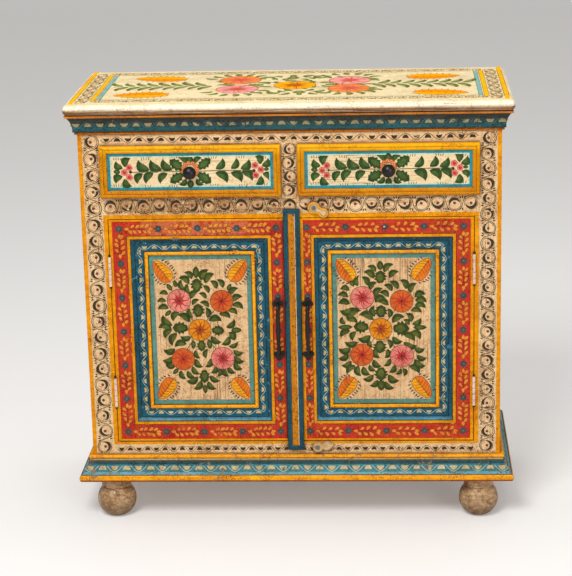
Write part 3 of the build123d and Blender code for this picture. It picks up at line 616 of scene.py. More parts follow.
def worn_foot(name):
    """A thin cream coat over turned wood, crackled, rubbed to patches, with painted shade below."""
    material, tree, shader, place = new_material(name)
    streaks = use_group(tree, brush_streaks, Place=place, Stretch=(60.0, 60.0, 240.0))
    blots = noise(tree, place, 42.0, 7.0, 0.74)
    bent = mix(tree, 0.035, place, blots["Color"])
    crackle = node(tree, "TexVoronoi", {"feature": "DISTANCE_TO_EDGE"}, Vector=bent, Scale=85.0)
    level = node(tree, "SeparateXYZ", Vector=place).outputs["Z"]
    masks = {
        "patch": ramp(tree, blots[0], 0.45, 0.62),
        "split": ramp(tree, crackle.outputs["Distance"], 0.07, 0.0),
        # Painted shade: darker towards the floor.
        "low": ramp(tree, level, 0.05, 0.006),
        "neck": ramp(tree, level, 0.078, 0.084),
    }
    colour = mix(tree, streaks["Streaks"], *FOOT_CREAM)
    for where, (stain, strength) in FOOT_STAINS_AND_SHADE.items():
        colour = tint(tree, colour, stain, masks[where], strength)
    roughness = ramp(tree, masks["patch"], 0, 1, 0.34, 0.6)
    height = maths(tree, "MULTIPLY", streaks["Streaks"], 0.4)
    height = maths(tree, "SUBTRACT", height, masks["split"])
    lay_on(tree, shader, colour, roughness, height, strength=0.6, depth=0.7 * MM)
    return material


foot_coat = worn_foot("foot_coat")
print("foot stains:", list(FOOT_STAINS_AND_SHADE))


# %% [markdown]
# Pulls, pins and knobs are blackened iron, and the screws of the turn buttons are bare steel. They
# were all hammered, so a smooth Voronoi texture gives shallow marks, with a little rust between.

# %% Iron and steel
RUST = chart(104, 62, 38)


def forged_metal(name, dark, pale, rough, metallic, rust=0.25):
    """Dull metal with shallow hammer marks and a little rust."""
    material, tree, shader, place = new_material(name)
    marks = node(tree, "TexVoronoi", {"feature": "SMOOTH_F1"}, Vector=place, Scale=190.0)
    grime = noise(tree, place, 95.0, 5.0, 0.7)[0]
    colour = mix(tree, ramp(tree, grime, 0.35, 0.7), dark, pale)
    colour = tint(tree, colour, RUST, ramp(tree, grime, 0.60, 0.72), rust)
    shader.inputs["Metallic"].default_value = metallic
    roughness = ramp(tree, grime, 0.3, 0.7, rough, rough + 0.2)
    lay_on(tree, shader, colour, roughness, marks.outputs[0], strength=0.35, depth=0.6 * MM)
    return material


iron = forged_metal("black_iron", chart(10, 10, 10), chart(27, 24, 21), 0.36, 0.25)
knob_iron = forged_metal("knob_iron", chart(4, 4, 5), chart(12, 13, 14), 0.3, 0.1, rust=0.1)
screw_steel = forged_metal("screw_steel", chart(96, 106, 118), chart(140, 138, 132), 0.4, 0.6)
print("metals:", iron.name, knob_iron.name, screw_steel.name)


# %% [markdown]
# Now the ground coats. The painter used five colours: cream, yellow, blue, red and a dark glaze.
# Each has a deeper tone, which the brush streaks bring out. Some also have a worn one, and some a
# darker one that is painted shade, partly with soot.

# %% Ground colours
CREAM, CREAM_DEEP = chart(236, 204, 158), chart(210, 171, 122)
PANEL_CREAM, PANEL_DEEP = chart(230, 194, 148), chart(205, 161, 112)
DRAWER_CREAM, DRAWER_DEEP = chart(240, 218, 174), chart(218, 190, 142)
# The top's cream is paler than the front's, partly as painted light on the face that looks up.
TOP_CREAM, TOP_DEEP = chart(255, 240, 196), chart(238, 212, 156)
YELLOW, YELLOW_DEEP = chart(254, 180, 14), chart(226, 138, 8)
# The lit yellow and the lower amber are painted light and shade on the drawer mouldings.
LIT_YELLOW = chart(255, 194, 14)
AMBER, SHADED_AMBER, AMBER_DEEP = chart(220, 150, 6), chart(214, 140, 14), chart(192, 114, 6)
BLUE, BLUE_DEEP = chart(22, 96, 122), chart(20, 64, 74)
# The second blue is painted shade along the upper edge of the door mouldings.
PALE_BLUE, SHADED_BLUE = chart(96, 152, 164), chart(34, 58, 66)
RED, RED_DEEP, FADED_RED = chart(184, 24, 32), chart(198, 70, 18), chart(206, 100, 72)


def coat(names, material):
    """Give boards a finish."""
    for name in names:
        for slot in nodes[name].material_slots:
            slot.material = material


print("cream as linear light:", [round(value, 3) for value in CREAM])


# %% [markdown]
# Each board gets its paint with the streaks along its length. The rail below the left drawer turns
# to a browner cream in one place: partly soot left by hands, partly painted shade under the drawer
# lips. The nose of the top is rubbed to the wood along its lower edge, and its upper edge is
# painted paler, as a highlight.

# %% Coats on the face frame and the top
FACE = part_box("stile_left")[0].y
SOOT_AND_SHADE_PLACE = ((-0.2, FACE, 0.672), (0.34, 0.1, 0.06))

cream_upright = painted("cream_upright", CREAM, CREAM_DEEP, "Z", cracks=0.45, chips=0.12, dirt=0.5)
cream_level = painted("cream_level", CREAM, CREAM_DEEP, "X", cracks=0.4, chips=0.12, dirt=0.5)
# Painted shade under the drawer lips, mixed with soot, darkens the middle rail in one place.
soot_and_shade_level = painted(
    "soot_and_shade_level", fade_and_shade_patch(CREAM, chart(202, 162, 114), *SOOT_AND_SHADE_PLACE),
    fade_and_shade_patch(CREAM_DEEP, chart(172, 131, 86), *SOOT_AND_SHADE_PLACE), "X", cracks=0.4, chips=0.12, dirt=0.6
)
top_coat = painted(
    "top_coat", worn_and_lit_nose(TOP_CREAM, chart(152, 106, 66)), worn_and_lit_nose(TOP_DEEP, chart(112, 72, 42)),
    "X", under=chart(176, 132, 88), edges=0.15, cracks=0.1, gloss=0.04
)
coat(["stile_left", "stile_right", "drawer_muntin"], cream_upright)
coat(["rail_top", "rail_bottom"], cream_level)
coat(["rail_middle"], soot_and_shade_level)
coat(["top_board"], top_coat)
print("front of the face frame at y", round(FACE, 4))


# %% [markdown]
# The cornice and the plinth change colour with height. Their rows give the level at which each
# colour starts, the paint and its deeper tone. The levels are the steps of the mouldings, so the
# colours meet where a painter would have turned the brush. Some rows are painted light and shade:
# the cornice's bead, the top of its hollow and its fillet are painted darker, as shade under the
# top; the plinth's hollow is painted pale at its foot, as a highlight, and dark at its top, as
# shade; and thin dark lines at the steps are painted shadow.

# %% Coats on the cornice and the plinth
CORNICE_BEAD_TOP = 0.8284
CORNICE_COVE_TOP = 0.8588
PLINTH_BEAD_TOP = 0.1012
PLINTH_COVE_TOP = 0.1275
PLINTH_BAND_TOP = 0.1314
# Painted shade: the bead, the line above it, the top of the hollow and the fillet are darker, as
# shade under the top.
CORNICE_ROWS = (
    (0.0, chart(214, 128, 12), chart(180, 100, 12)),
    (CORNICE_BEAD_TOP - 0.6 * MM, chart(40, 40, 32), chart(40, 40, 32)),
    (CORNICE_BEAD_TOP + 1.6 * MM, chart(30, 94, 102), chart(34, 70, 76)),
    (CORNICE_BEAD_TOP + 9 * MM, chart(38, 80, 82), chart(44, 60, 56)),
    (CORNICE_COVE_TOP - 12 * MM, chart(66, 70, 66), chart(48, 50, 46)),
    (CORNICE_COVE_TOP, chart(220, 130, 12), chart(150, 80, 12)),
)
# Painted light and shade: the hollow is pale at its foot and dark at its top, with dark lines at
# the steps.
PLINTH_ROWS = (
    (0.0, chart(178, 92, 34), chart(140, 66, 30)),
    (PLINTH_BEAD_TOP - 11 * MM, YELLOW, YELLOW_DEEP),
    (PLINTH_BEAD_TOP - 1 * MM, BROWN_DIRT_AND_SHADE, BROWN_DIRT_AND_SHADE),
    (PLINTH_BEAD_TOP, chart(132, 184, 192), chart(72, 144, 160)),
    (PLINTH_BEAD_TOP + 4 * MM, chart(58, 136, 150), chart(54, 108, 114)),
    (PLINTH_COVE_TOP - 8 * MM, chart(30, 88, 100), chart(40, 72, 72)),
    (PLINTH_COVE_TOP - 1 * MM, BROWN_DIRT_AND_SHADE, BROWN_DIRT_AND_SHADE),
    (PLINTH_COVE_TOP, chart(232, 208, 160), chart(206, 170, 112)),
    (PLINTH_BAND_TOP, YELLOW, YELLOW_DEEP),
)


def stacked(rows):
    """The paint and its deeper tone, each changing with height as the rows say."""
    levels = [row[0] for row in rows[1:]]
    return [bands("Z", levels, [row[column] for row in rows]) for column in (1, 2)]


for part, along in (("front", "X"), ("sides", "Y")):
    for name, rows, under, wear in (
        (f"cornice_{part}", CORNICE_ROWS, chart(128, 112, 78), 0.3),
        (f"plinth_{part}", PLINTH_ROWS, chart(136, 110, 76), 0.4),
    ):
        coat([name], painted(name, *stacked(rows), along, under=under, edges=wear, chips=wear,
                             dirt=0.5))
print("colours on the cornice:", len(CORNICE_ROWS), "and on the plinth:", len(PLINTH_ROWS))


# %% [markdown]
# The inside was never painted. The side boards are cream on their outer face only, so the colour
# changes half a millimetre under that face. The feet get their worn coat here too.

# %% Coats on the inside, the sides and the feet
coat(["floor_board", "shelf", "drawer_deck", "base_board"], wood["X"])
coat(["drawer_guides", "drawer_kickers"], wood["Y"])
coat(["back_boards"], wood["Z"])
coat([name for name in nodes if name.startswith("foot_")], foot_coat)

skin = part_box("side_right")[0].x + 17.5 * MM
side_coat = painted(
    "side_coat", bands("X", (-skin, skin), (CREAM, WOOD_PALE, CREAM)),
    bands("X", (-skin, skin), (CREAM_DEEP, WOOD_DARK, CREAM_DEEP)), "Z", cracks=0.5
)
coat(["side_left", "side_right"], side_coat)
print("paint on the sides starts at x", round(skin, 4))


# %% [markdown]
# The doors have red frames, faded along the top of the left one, round blue mouldings, yellow
# beads and cream panels. Each blue moulding is painted darker along its upper edge, as shade, and
# paler along its lower edge, as a highlight. The hinge leaves were painted over again and again,
# which leaves them whitish with red in the chips.

# %% Coats on the doors
FADED_PLACE = ((-0.19, FACE, 0.627), (0.21, 0.1, 0.05))
RED_WEAR = {"under": FADED_RED, "dirt": 0.6}
LEDGE = 10 * MM

red_upright = painted("red_upright", RED, RED_DEEP, "Z", chips=0.24, **RED_WEAR)
red_level = painted("red_level", RED, RED_DEEP, "X", chips=0.27, **RED_WEAR)
faded_level = painted(
    "faded_level", fade_and_shade_patch(RED, chart(198, 112, 80), *FADED_PLACE),
    fade_and_shade_patch(RED_DEEP, chart(196, 98, 54), *FADED_PLACE), "X", chips=0.27, **RED_WEAR
)
cream_panel = painted("cream_panel", PANEL_CREAM, PANEL_DEEP, "Z", cracks=0.75, chips=0.0, dirt=0.4)
strip_blue = painted(
    "strip_blue", chart(24, 84, 100), chart(22, 54, 62), "Z", under=PALE_BLUE, edges=0.3,
    dirt=0.5, rough=0.38
)
knuckle_paint = painted(
    "knuckle_paint", chart(240, 216, 194), chart(222, 186, 156), "Z", under=chart(176, 60, 44),
    edges=0.3, chips=0.35
)
coat(["hinge_frame_leaves"], knuckle_paint)
coat(["hinge_pins"], iron)
coat(["meeting_strip"], strip_blue)
for side in ("left", "right"):
    coat([f"{side}_door_stiles"], red_upright)
    coat([f"{side}_door_rails"], red_level if side == "right" else faded_level)
    coat([f"{side}_door_panel"], cream_panel)
    moulding, bead = f"{side}_door_moulding", f"{side}_door_bead"
    # Painted shade along the moulding's upper edge, and a painted highlight along its lower edge.
    coat(
        [moulding],
        painted(
            f"{moulding}_blue", edge_light_and_shade(BLUE, SHADED_BLUE, chart(86, 160, 184), moulding, LEDGE),
            edge_light_and_shade(BLUE_DEEP, SHADED_BLUE, chart(60, 126, 150), moulding, LEDGE),
            mitred(moulding), under=PALE_BLUE, edges=0.3, chips=0.35, dirt=0.5, rough=0.4,
        ),
    )
    coat([bead], painted(f"{bead}_yellow", YELLOW, YELLOW_DEEP, mitred(bead),
                         under=chart(120, 82, 40), chips=0.25, dirt=0.5))
    coat([f"{side}_door_hinge_leaves"], knuckle_paint)
    coat([f"{side}_door_pull", f"{side}_door_pull_screws"], iron)
print("doors coated")


# %% [markdown]
# A drawer front is cream inside an amber moulding, painted lighter along its top as painted light
# and darker on its sides and along its foot as painted shade. Its lip is yellow all round, and
# behind the lip the wood is bare. The turn buttons are yellow with a cream face, or all cream, and
# both are worn by fingers.

# %% Coats on the drawers and the turn buttons
LIP_BACK = FACE - 0.2 * MM
LIT_WIDTH = 26 * MM
for side in ("left", "right"):
    frame_name = f"{side}_drawer_moulding"
    coat(
        [f"{side}_drawer_front"],
        painted(
            f"{side}_drawer_cream", facing_front(DRAWER_CREAM, YELLOW, WOOD_PALE, LIP_BACK),
            facing_front(DRAWER_DEEP, YELLOW_DEEP, WOOD_DARK, LIP_BACK), "X", cracks=0.55,
            dirt=0.22,
        ),
    )
    # Painted light along the top run of the moulding, painted shade on its sides and along its
    # foot.
    coat(
        [frame_name],
        painted(
            f"{frame_name}_yellow", edge_light_and_shade(AMBER, LIT_YELLOW, SHADED_AMBER, frame_name, LIT_WIDTH),
            edge_light_and_shade(AMBER_DEEP, YELLOW, AMBER_DEEP, frame_name, LIT_WIDTH), mitred(frame_name),
            under=chart(166, 96, 20), edges=0.2, chips=0.14, dirt=0.35, rough=0.42, gloss=0.1,
        ),
    )
    coat([f"{side}_drawer_knob", f"{side}_drawer_knob_screw"], knob_iron)
    coat([f"{side}_drawer_sides"], wood["Y"])
    coat([f"{side}_drawer_back", f"{side}_drawer_bottom"], wood["X"])

button_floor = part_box("top_turn_button")[0].y + 0.8 * MM
coat(["turn_button_screws"], screw_steel)
coat(
    ["top_turn_button"],
    painted(
        "button_paint", bands("Y", (button_floor,), (YELLOW, chart(226, 200, 158))),
        bands("Y", (button_floor,), (chart(216, 150, 50), chart(206, 170, 122))), "round",
        under=chart(140, 96, 60), edges=0.3, chips=0.3,
    ),
)
coat(
    ["bottom_turn_button"],
    painted("leaf_button_paint", chart(224, 196, 150), chart(190, 150, 98), "round",
            under=chart(130, 88, 54), edges=0.4, chips=0.3),
)
print("ground coats on", len(nodes), "nodes")


# %% [markdown]
# The painter worked with a handful of strokes, repeated many times: a curled leaf, a half moon, a
# crescent, a dot. Each stroke is modelled once as a dab of paint: a filled circle whose rim is
# pulled out to the outline of the stroke, then extruded to a thin film. A dab is one unit long,
# starts at the origin and points along X, so that placing it is only a turn and a scale.

# %% Dabs of paint
def face_outwards():
    """Turn every face of the piece outwards, and leave edit mode."""
    bpy.ops.mesh.select_all(action="SELECT")
    bpy.ops.mesh.normals_make_consistent(inside=False)
    bpy.ops.object.mode_set(mode="OBJECT")


def dab(name, corners, outline):
    """Model one stroke: the rim of a filled circle follows an outline, and is raised to a film."""
    deselect_all()
    bpy.ops.mesh.primitive_circle_add(vertices=corners, radius=1, fill_type="NGON")
    stroke = bpy.context.object
    stroke.name = name
    for index, vertex in enumerate(stroke.data.vertices):
        vertex.co = (*outline(index / corners), -1)
    bpy.ops.object.mode_set(mode="EDIT")
    bpy.ops.mesh.select_all(action="SELECT")
    bpy.ops.mesh.extrude_region_move(TRANSFORM_OT_translate={"value": (0, 0, 2)})
    face_outwards()
    mesh = stroke.data
    bpy.data.objects.remove(stroke)
    return mesh


print("a dab starts as a circle and ends as a film of two faces and a rim")


# %% [markdown]
# Most strokes have an upper and a lower edge that meet at both ends. So an outline is a function of
# how far round the rim a corner is: it runs out along one edge and back along the other.

# %% Outlines of the strokes
def two_sided(upper, lower):
    """An outline that runs out along an upper edge and comes back along a lower one."""

    def outline(share):
        along = share * 2
        return (along, upper(along)) if share < 0.5 else (2 - along, lower(2 - along))

    return outline


def swell(power, lean):
    """A smooth swelling from nothing to one and back to nothing, which may lean to one end."""
    return lambda along: math.sin(math.pi * along**lean) ** power


blunt = swell(0.6, 0.8)
drop = swell(0.7, 0.6)
stub = swell(0.5, 0.72)


def even(swelling):
    """A stroke that swells alike on both sides, half a unit each way."""
    return two_sided(lambda s: 0.5 * swelling(s), lambda s: -0.5 * swelling(s))


def halved(swelling):
    """The upper half of such a stroke."""
    return two_sided(lambda s: 0.5 * swelling(s), lambda s: 0.0)


def toothed_edge(along):
    """Half the width of a leaf with four teeth on each side."""
    notch = (along * 4) % 1.0
    return 0.5 * math.sin(math.pi * min(along * 0.95 + 0.04, 1.0)) ** 0.75 * (1.16 - 0.5 * notch)


def ring_outline(lobes, depth):
    """A round outline one unit across, with shallow lobes, centred on the origin."""

    def outline(share):
        turn = share * math.tau
        reach = 0.5 * (1 - depth + depth * math.cos(lobes * turn))
        return reach * math.cos(turn), reach * math.sin(turn)

    return outline


def crescent_outline(share):
    """A comma that is thick in the middle and thin at both ends, round the origin."""
    outer = share < 0.5
    along = share * 2 if outer else 2 - share * 2
    turn = math.radians(-25 + 225 * along)
    reach = 0.5 if outer else 0.5 - 0.25 * math.sin(math.pi * along) ** 0.8
    return reach * math.cos(turn), reach * math.sin(turn)


def moon_outline(share):
    """Half a disc, one unit across, whose straight side is a little hollow."""
    if share < 0.7:
        turn = math.pi * share / 0.7
        return 0.5 - 0.5 * math.cos(turn), math.sin(turn)
    along = (1 - share) / 0.3
    return along, 0.1 * math.sin(math.pi * along)


def leaf_belly(share, height):
    """The full side of a curled leaf, round near its base and drawn out to a point."""
    return height * math.sin(math.pi * share**0.94) ** 0.6


def leaf_hollow(share, height):
    """The other side, which bends the same way near the tip and so curls the leaf."""
    return height * math.sin(math.pi * share) * (0.5 - 0.78 * share)


def square_end(share):
    """A plain bar, one unit long and wide."""
    return ((0, -0.5), (1, -0.5), (1, 0.5), (0, 0.5))[round(share * 4)]


print("a leaf's belly half way along is", round(leaf_belly(0.5, 0.82), 3))


# %% [markdown]
# Small strokes are laid hundreds of times, so they get few corners. Only the discs of the blossoms
# and the toothed leaves need more, because their rims are seen.

# %% The painter's strokes
STROKES = {
    "curl": (18, two_sided(lambda s: leaf_belly(s, 0.82), lambda s: leaf_hollow(s, -0.5))),
    "curl_back": (18, two_sided(lambda s: leaf_hollow(s, 0.5), lambda s: leaf_belly(s, -0.82))),
    "straight": (14, two_sided(lambda s: leaf_belly(s, 0.5), lambda s: leaf_belly(s, -0.5))),
    "toothed": (34, two_sided(toothed_edge, lambda s: -toothed_edge(s))),
    "oval": (26, even(blunt)),
    "half_oval": (24, halved(blunt)),
    "moon": (20, moon_outline),
    "corner": (28, even(stub)),
    "half_corner": (26, halved(stub)),
    "crescent": (24, crescent_outline),
    "dot": (10, ring_outline(5, 0.05)),
    "tick": (8, even(drop)),
    "disc": (40, ring_outline(10, 0.03)),
    "rosette": (24, ring_outline(6, 0.13)),
    "bar": (4, square_end),
}
DABS = {name: dab(name, corners, outline) for name, (corners, outline) in STROKES.items()}
print({name: len(mesh.vertices) for name, mesh in DABS.items()})


# %% [markdown]
# Strokes are placed on a flat sheet with u across, v up and h out of the wood. A surface then says
# where that sheet lies on the sideboard: on the front, on the top, on a side, or wrapped over a
# hollow moulding. Such functions are simpler than a modifier, because the sheet is always flat.

# %% Surfaces to paint on
def front_at(depth):
    """The front, at a depth along Y."""
    return lambda u, v, h: (u, depth - h, v)


def side_at(side, reach):
    """A side of the body: u runs to the back on the right and to the front on the left."""
    return lambda u, v, h: (side * (reach + h), side * u, v)


def top_at(height):
    """The top, with u to the right and v to the back."""
    return lambda u, v, h: (u, v, height + h)


def hollow(low, high, low_reach, high_reach, sag):
    """How far a hollow moulding stands out of the wall, by height."""

    def reach(v):
        share = (v - low) / (high - low)
        return low_reach + (high_reach - low_reach) * share - sag * 4 * share * (1 - share)

    return reach


def over_front(reach):
    """The front of a moulding round the body."""
    return lambda u, v, h: (u, FACE - reach(v) - h, v)


def over_side(side, body_half, reach):
    """One side of a moulding round the body."""
    return lambda u, v, h: (side * (body_half + reach(v) + h), side * u, v)


print("point on the top:", top_at(0.885)(0.1, 0.05, 0.0))


# %% [markdown]
# The palette. Every colour of paint is a finish of its own: what shows through its chips is the
# ground it was laid on, and how chipped it is depends on how thin the painter laid it.

# %% Palette
PAINTS = {}


def pigment(name, slot, paint, deep, **finish):
    """A colour of the palette, as a finish for strokes."""
    PAINTS[name] = painted(
        f"paint_{name}", chart(*paint), chart(*deep), "round", edges=0.0, **finish
    )


PALETTE = {
    "cream_paint": (
        ("leaf_green", (62, 74, 24), (40, 54, 18), PANEL_CREAM, 0.15),
        ("leaf_light", (98, 106, 36), (66, 80, 26), PANEL_CREAM, 0.15),
        ("spray_green", (54, 82, 32), (34, 58, 24), DRAWER_CREAM, 0.15),
        ("spray_light", (84, 108, 48), (54, 82, 34), DRAWER_CREAM, 0.15),
        ("dark", (68, 54, 34), (44, 38, 26), CREAM, 0.35),
        ("brown", (128, 58, 52), (104, 50, 40), CREAM, 0.3),
        ("line_brown", (90, 70, 46), (68, 52, 34), CREAM, 0.22),
        ("stem", (104, 100, 66), (84, 84, 50), CREAM, 0.3),
        ("umber", (112, 52, 24), (80, 40, 24), BARE_EDGE, 0.1),
        ("chalk", (228, 208, 188), (206, 180, 150), BARE_EDGE, 0.2),
        # The dark glaze draws outlines and flecks, and also paints shade along steps and grooves.
        ("glaze", (66, 48, 30), (46, 34, 24), YELLOW, 0.4),
        # Darker copies of the moon and line paints, as painted shade on the cornice.
        ("moonshine", (212, 190, 140), (170, 146, 92), BLUE_DEEP, 0.4),
        ("dim_moon", (168, 156, 114), (128, 118, 80), BLUE_DEEP, 0.5),
        ("dim_line", (92, 128, 128), (52, 84, 88), BLUE_DEEP, 0.6),
        ("thin_cream", (176, 190, 172), (140, 166, 158), BLUE, 0.35),
    ),
    "yellow_paint": (
        ("amber", (240, 168, 18), (226, 140, 10), BARE_EDGE, 0.05),
        ("marigold", (228, 146, 10), (210, 118, 4), BARE_EDGE, 0.05),
        ("ochre", (226, 150, 44), (206, 112, 30), RED, 0.35),
        ("old_yellow", (212, 136, 4), (166, 94, 4), chart(84, 60, 30), 0.3),
    ),
    "red_paint": (
        ("maroon", (134, 40, 26), (112, 34, 24), RED, 0.3),
        ("rust", (188, 78, 14), (166, 60, 10), BARE_EDGE, 0.05),
        ("orange", (212, 102, 36), (190, 78, 24), BARE_EDGE, 0.05),
        ("leaf_orange", (228, 122, 20), (206, 92, 14), BARE_EDGE, 0.05),
        ("peach", (238, 178, 124), (226, 148, 92), BARE_EDGE, 0.05),
        ("pink", (228, 142, 124), (208, 106, 96), BARE_EDGE, 0.08),
        ("crimson", (200, 46, 54), (176, 40, 46), BARE_EDGE, 0.1),
        ("vermilion", (214, 60, 30), (190, 46, 26), BARE_EDGE, 0.1),
    ),
    "blue_paint": (
        # The blue line paint is painted shade along the steps of the blue mouldings.
        ("blue_glaze", (28, 46, 54), (22, 34, 40), BLUE, 0.4),
        ("teal", (96, 146, 134), (76, 122, 112), CREAM, 0.2),
        ("night", (66, 84, 88), (48, 56, 60), RED, 0.2),
        ("cyan", (48, 148, 160), (40, 120, 130), CREAM, 0.15),
        ("mist", (176, 212, 196), (206, 214, 180), CREAM, 0.5),
    ),
}
for slot, colours in PALETTE.items():
    for name, paint, deep, ground, chips in colours:
        pigment(name, slot, paint, deep, under=ground, chips=chips)
pigment("yellow", "yellow_paint", (238, 160, 8), (200, 118, 4), under=chart(150, 92, 26), chips=0.3,
        gloss=0.1)
print("colours:", len(PAINTS))


# %% [markdown]
# The top has a palette of its own. All its colours are paler, with hardly any dirt and no shine:
# partly bleached by light and cloths, partly painted light on the face that looks up.

# %% Paler palette of the top, partly painted light
TOP_PALETTE = {
    "cream_paint": (
        ("top_green", (122, 132, 66), (94, 106, 50)),
        ("top_light", (162, 168, 98), (134, 144, 76)),
        ("top_brown", (138, 110, 66), (110, 84, 48)),
        ("top_line", (188, 162, 114), (164, 136, 90)),
    ),
    "yellow_paint": (
        ("top_yellow", (255, 196, 30), (246, 172, 14)),
        ("top_gold", (255, 190, 20), (250, 166, 10)),
    ),
    "red_paint": (
        ("top_flame", (255, 160, 12), (244, 138, 10)),
        ("top_orange", (252, 152, 86), (242, 130, 60)),
        ("top_pink", (248, 174, 168), (240, 150, 146)),
        ("top_rose", (232, 110, 104), (222, 96, 88)),
        ("top_rust", (206, 104, 40), (190, 90, 36)),
    ),
    "blue_paint": (
        ("top_teal", (146, 196, 192), (112, 168, 170)),
    ),
}
for slot, colours in TOP_PALETTE.items():
    for name, paint, deep in colours:
        pigment(name, slot, paint, deep, under=TOP_CREAM, chips=0.2, dirt=0.12, gloss=0.0)
print("colours with the top's:", len(PAINTS))


# %% [markdown]
# A stroke becomes a mesh in one of two ways. A dab is a scaled copy. A long line is a curve with a
# square bevel, which is made a mesh and pressed flat so that it lies like paint. Each stroke gets a
# slightly different thickness: two faces at the same height would flicker where strokes cross.

# %% Films of paint
FILM = 0.14 * MM
LAYER = 0.035 * MM
UNDERSIDE = 0.05


def film(layer):
    """The thickness of a stroke. No two are quite alike, so strokes that cross never lie level."""
    return FILM + layer * LAYER + random.uniform(0, 0.8) * LAYER


def laid_dab(kind, u, v, turn, length, width, layer):
    """A copy of a dab, scaled, turned and moved to its place."""
    mesh = DABS[kind].copy()
    size = Matrix.Diagonal((length, width, film(layer), 1))
    mesh.transform(Matrix.Translation((u, v, 0)) @ Matrix.Rotation(turn, 4, "Z") @ size)
    return mesh


def drawn_line(points, width, layer):
    """A line drawn as a bevelled curve, made a mesh, and pressed flat."""
    curve = bpy.data.curves.new("line", "CURVE")
    curve.dimensions = "3D"
    curve.twist_mode = "Z_UP"
    curve.bevel_depth = 0.5
    curve.bevel_resolution = 0
    curve.use_fill_caps = True
    spline = curve.splines.new("POLY")
    spline.points.add(len(points) - 1)
    for point, place in zip(spline.points, points):
        point.co = (place[0], place[1], 0, 1)
        point.radius = width * (place[2] if len(place) > 2 else 1.0)
    holder = bpy.data.objects.new("line", curve)
    mesh = bpy.data.meshes.new_from_object(holder)
    thickness = film(layer)
    for vertex in mesh.vertices:
        vertex.co.z = thickness if vertex.co.z > -UNDERSIDE * width else -thickness
    bpy.data.objects.remove(holder)
    return mesh


def join_strokes(meshes, name):
    """Join the meshes of many strokes into one piece."""
    vertices, faces = [], []
    for stroke in meshes:
        first = len(vertices)
        vertices += [vertex.co.copy() for vertex in stroke.vertices]
        faces += [[first + index for index in face.vertices] for face in stroke.polygons]
        bpy.data.meshes.remove(stroke)
    mesh = bpy.data.meshes.new(name)
    mesh.from_pydata(vertices, [], faces)
    piece = bpy.data.objects.new(name, mesh)
    bpy.context.scene.collection.objects.link(piece)
    deselect_all()
    bpy.context.view_layer.objects.active = piece
    piece.select_set(True)
    bpy.ops.object.mode_set(mode="EDIT")
    face_outwards()
    return piece


print("films start at", FILM / MM, "mm")


# %% [markdown]
# A picture collects strokes colour by colour, and then each colour becomes one piece that rides on
# the door, drawer or carcass it is painted on. That keeps the number of pieces small, and a colour
# can be changed without touching the others.

# %% Pictures
class Picture:
    """Strokes laid on one surface of one body, kept by colour until the picture is finished."""

    def __init__(self, name, body, surface):
        self.name, self.body, self.surface = name, body, surface
        self.dabs, self.lines = {}, {}

    def dab(self, colour, kind, u, v, turn, length, width, layer=0):
        """Lay one dab with its start at (u, v), turned in degrees."""
        stroke = (kind, u, v, math.radians(turn), length, width, layer)
        self.dabs.setdefault(colour, []).append(stroke)

    def leaf(self, colour, kind, base, tip, fullness, layer=0):
        """Lay a leaf from its base to its tip, with its width as a share of its length."""
        run = Vector(tip) - Vector(base)
        turn = math.degrees(math.atan2(run.y, run.x))
        self.dab(colour, kind, *base, turn, run.length, run.length * fullness, layer)

    def line(self, colour, points, width, layer=0):
        """Draw a line through points; each may carry its own share of the width."""
        self.lines.setdefault(colour, []).append((points, width, layer))

    def band(self, colour, start, end, width, layer=0):
        """Draw a straight band with square ends."""
        self.leaf(colour, "bar", start, end, width / (Vector(end) - Vector(start)).length, layer)

    def border(self, colour, u_span, v_span, width, layer=0):
        """Draw a band just inside the four sides of a rectangle."""
        (left, right), (low, high), half = u_span, v_span, width / 2
        for u in (left + half, right - half):
            self.band(colour, (u, low), (u, high), width, layer)
        for v in (low + half, high - half):
            self.band(colour, (left + width, v), (right - width, v), width, layer)

    def finish(self):
        """Turn each colour into one piece that rides on the body."""
        colours = sorted(set(self.dabs) | set(self.lines))
        for colour in colours:
            strokes = [drawn_line(*line) for line in self.lines.get(colour, [])]
            strokes += [laid_dab(*stroke) for stroke in self.dabs.get(colour, [])]
            piece = join_strokes(strokes, f"{self.name}_{colour}")
            for vertex in piece.data.vertices:
                vertex.co = self.surface(*vertex.co)
            piece.data.materials.append(PAINTS[colour])
            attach(piece, self.body)
        print(self.name, "in", len(colours), "colours")


# %% [markdown]
# The motifs. Each is a small function that draws on a picture, so that the same wave runs along
# the cornice, the plinth and the doors. A helper turns a distance along a run, and an offset to its
# left, into a place on the sheet, so that no motif needs to know which way it runs.

# %% Motif: wave with half moons
def run_along(start, end):
    """A run's length, its direction, and a function from (distance, offset) to a place."""
    start, end = Vector(start), Vector(end)
    run = end - start
    ahead = run.normalized()
    left = Vector((-ahead.y, ahead.x))
    turn = math.degrees(math.atan2(ahead.y, ahead.x))
    return run.length, turn, lambda distance, offset: start + ahead * distance + left * offset


WAVE_STEPS = 6


def wave(picture, start, end, count, height, moon_colour, line_colour, line_width, moon=0.56):
    """A wavy line with a half moon in each bay, turned by turns up and down."""
    run_length, turn, at = run_along(start, end)
    pitch = run_length / count
    shares = [step / WAVE_STEPS for step in range(count * WAVE_STEPS + 1)]
    line = [at(share * pitch, -height * math.sin(math.pi * share)) for share in shares]
    picture.line(line_colour, line, line_width)
    for bay in range(count):
        hang = 1 if bay % 2 == 0 else -1
        length = moon * pitch * random.uniform(0.94, 1.06)
        corner = at((bay + 0.5) * pitch + hang * length / 2, hang * height * 0.55)
        picture.dab(moon_colour, "moon", *corner, turn + (180 if hang > 0 else 0), length,
                    height * random.uniform(1.1, 1.28))


print("points in each bay of a wave:", WAVE_STEPS)


# %% [markdown]
# A swirl is a thin ring that curls inwards round a dark comma and a dot. In a row the swirls face
# by turns to either side, and one line winds round them like an S, with ticks in the gaps. The
# painter's hand wandered a little, so sizes and turns are drawn at random within narrow limits.

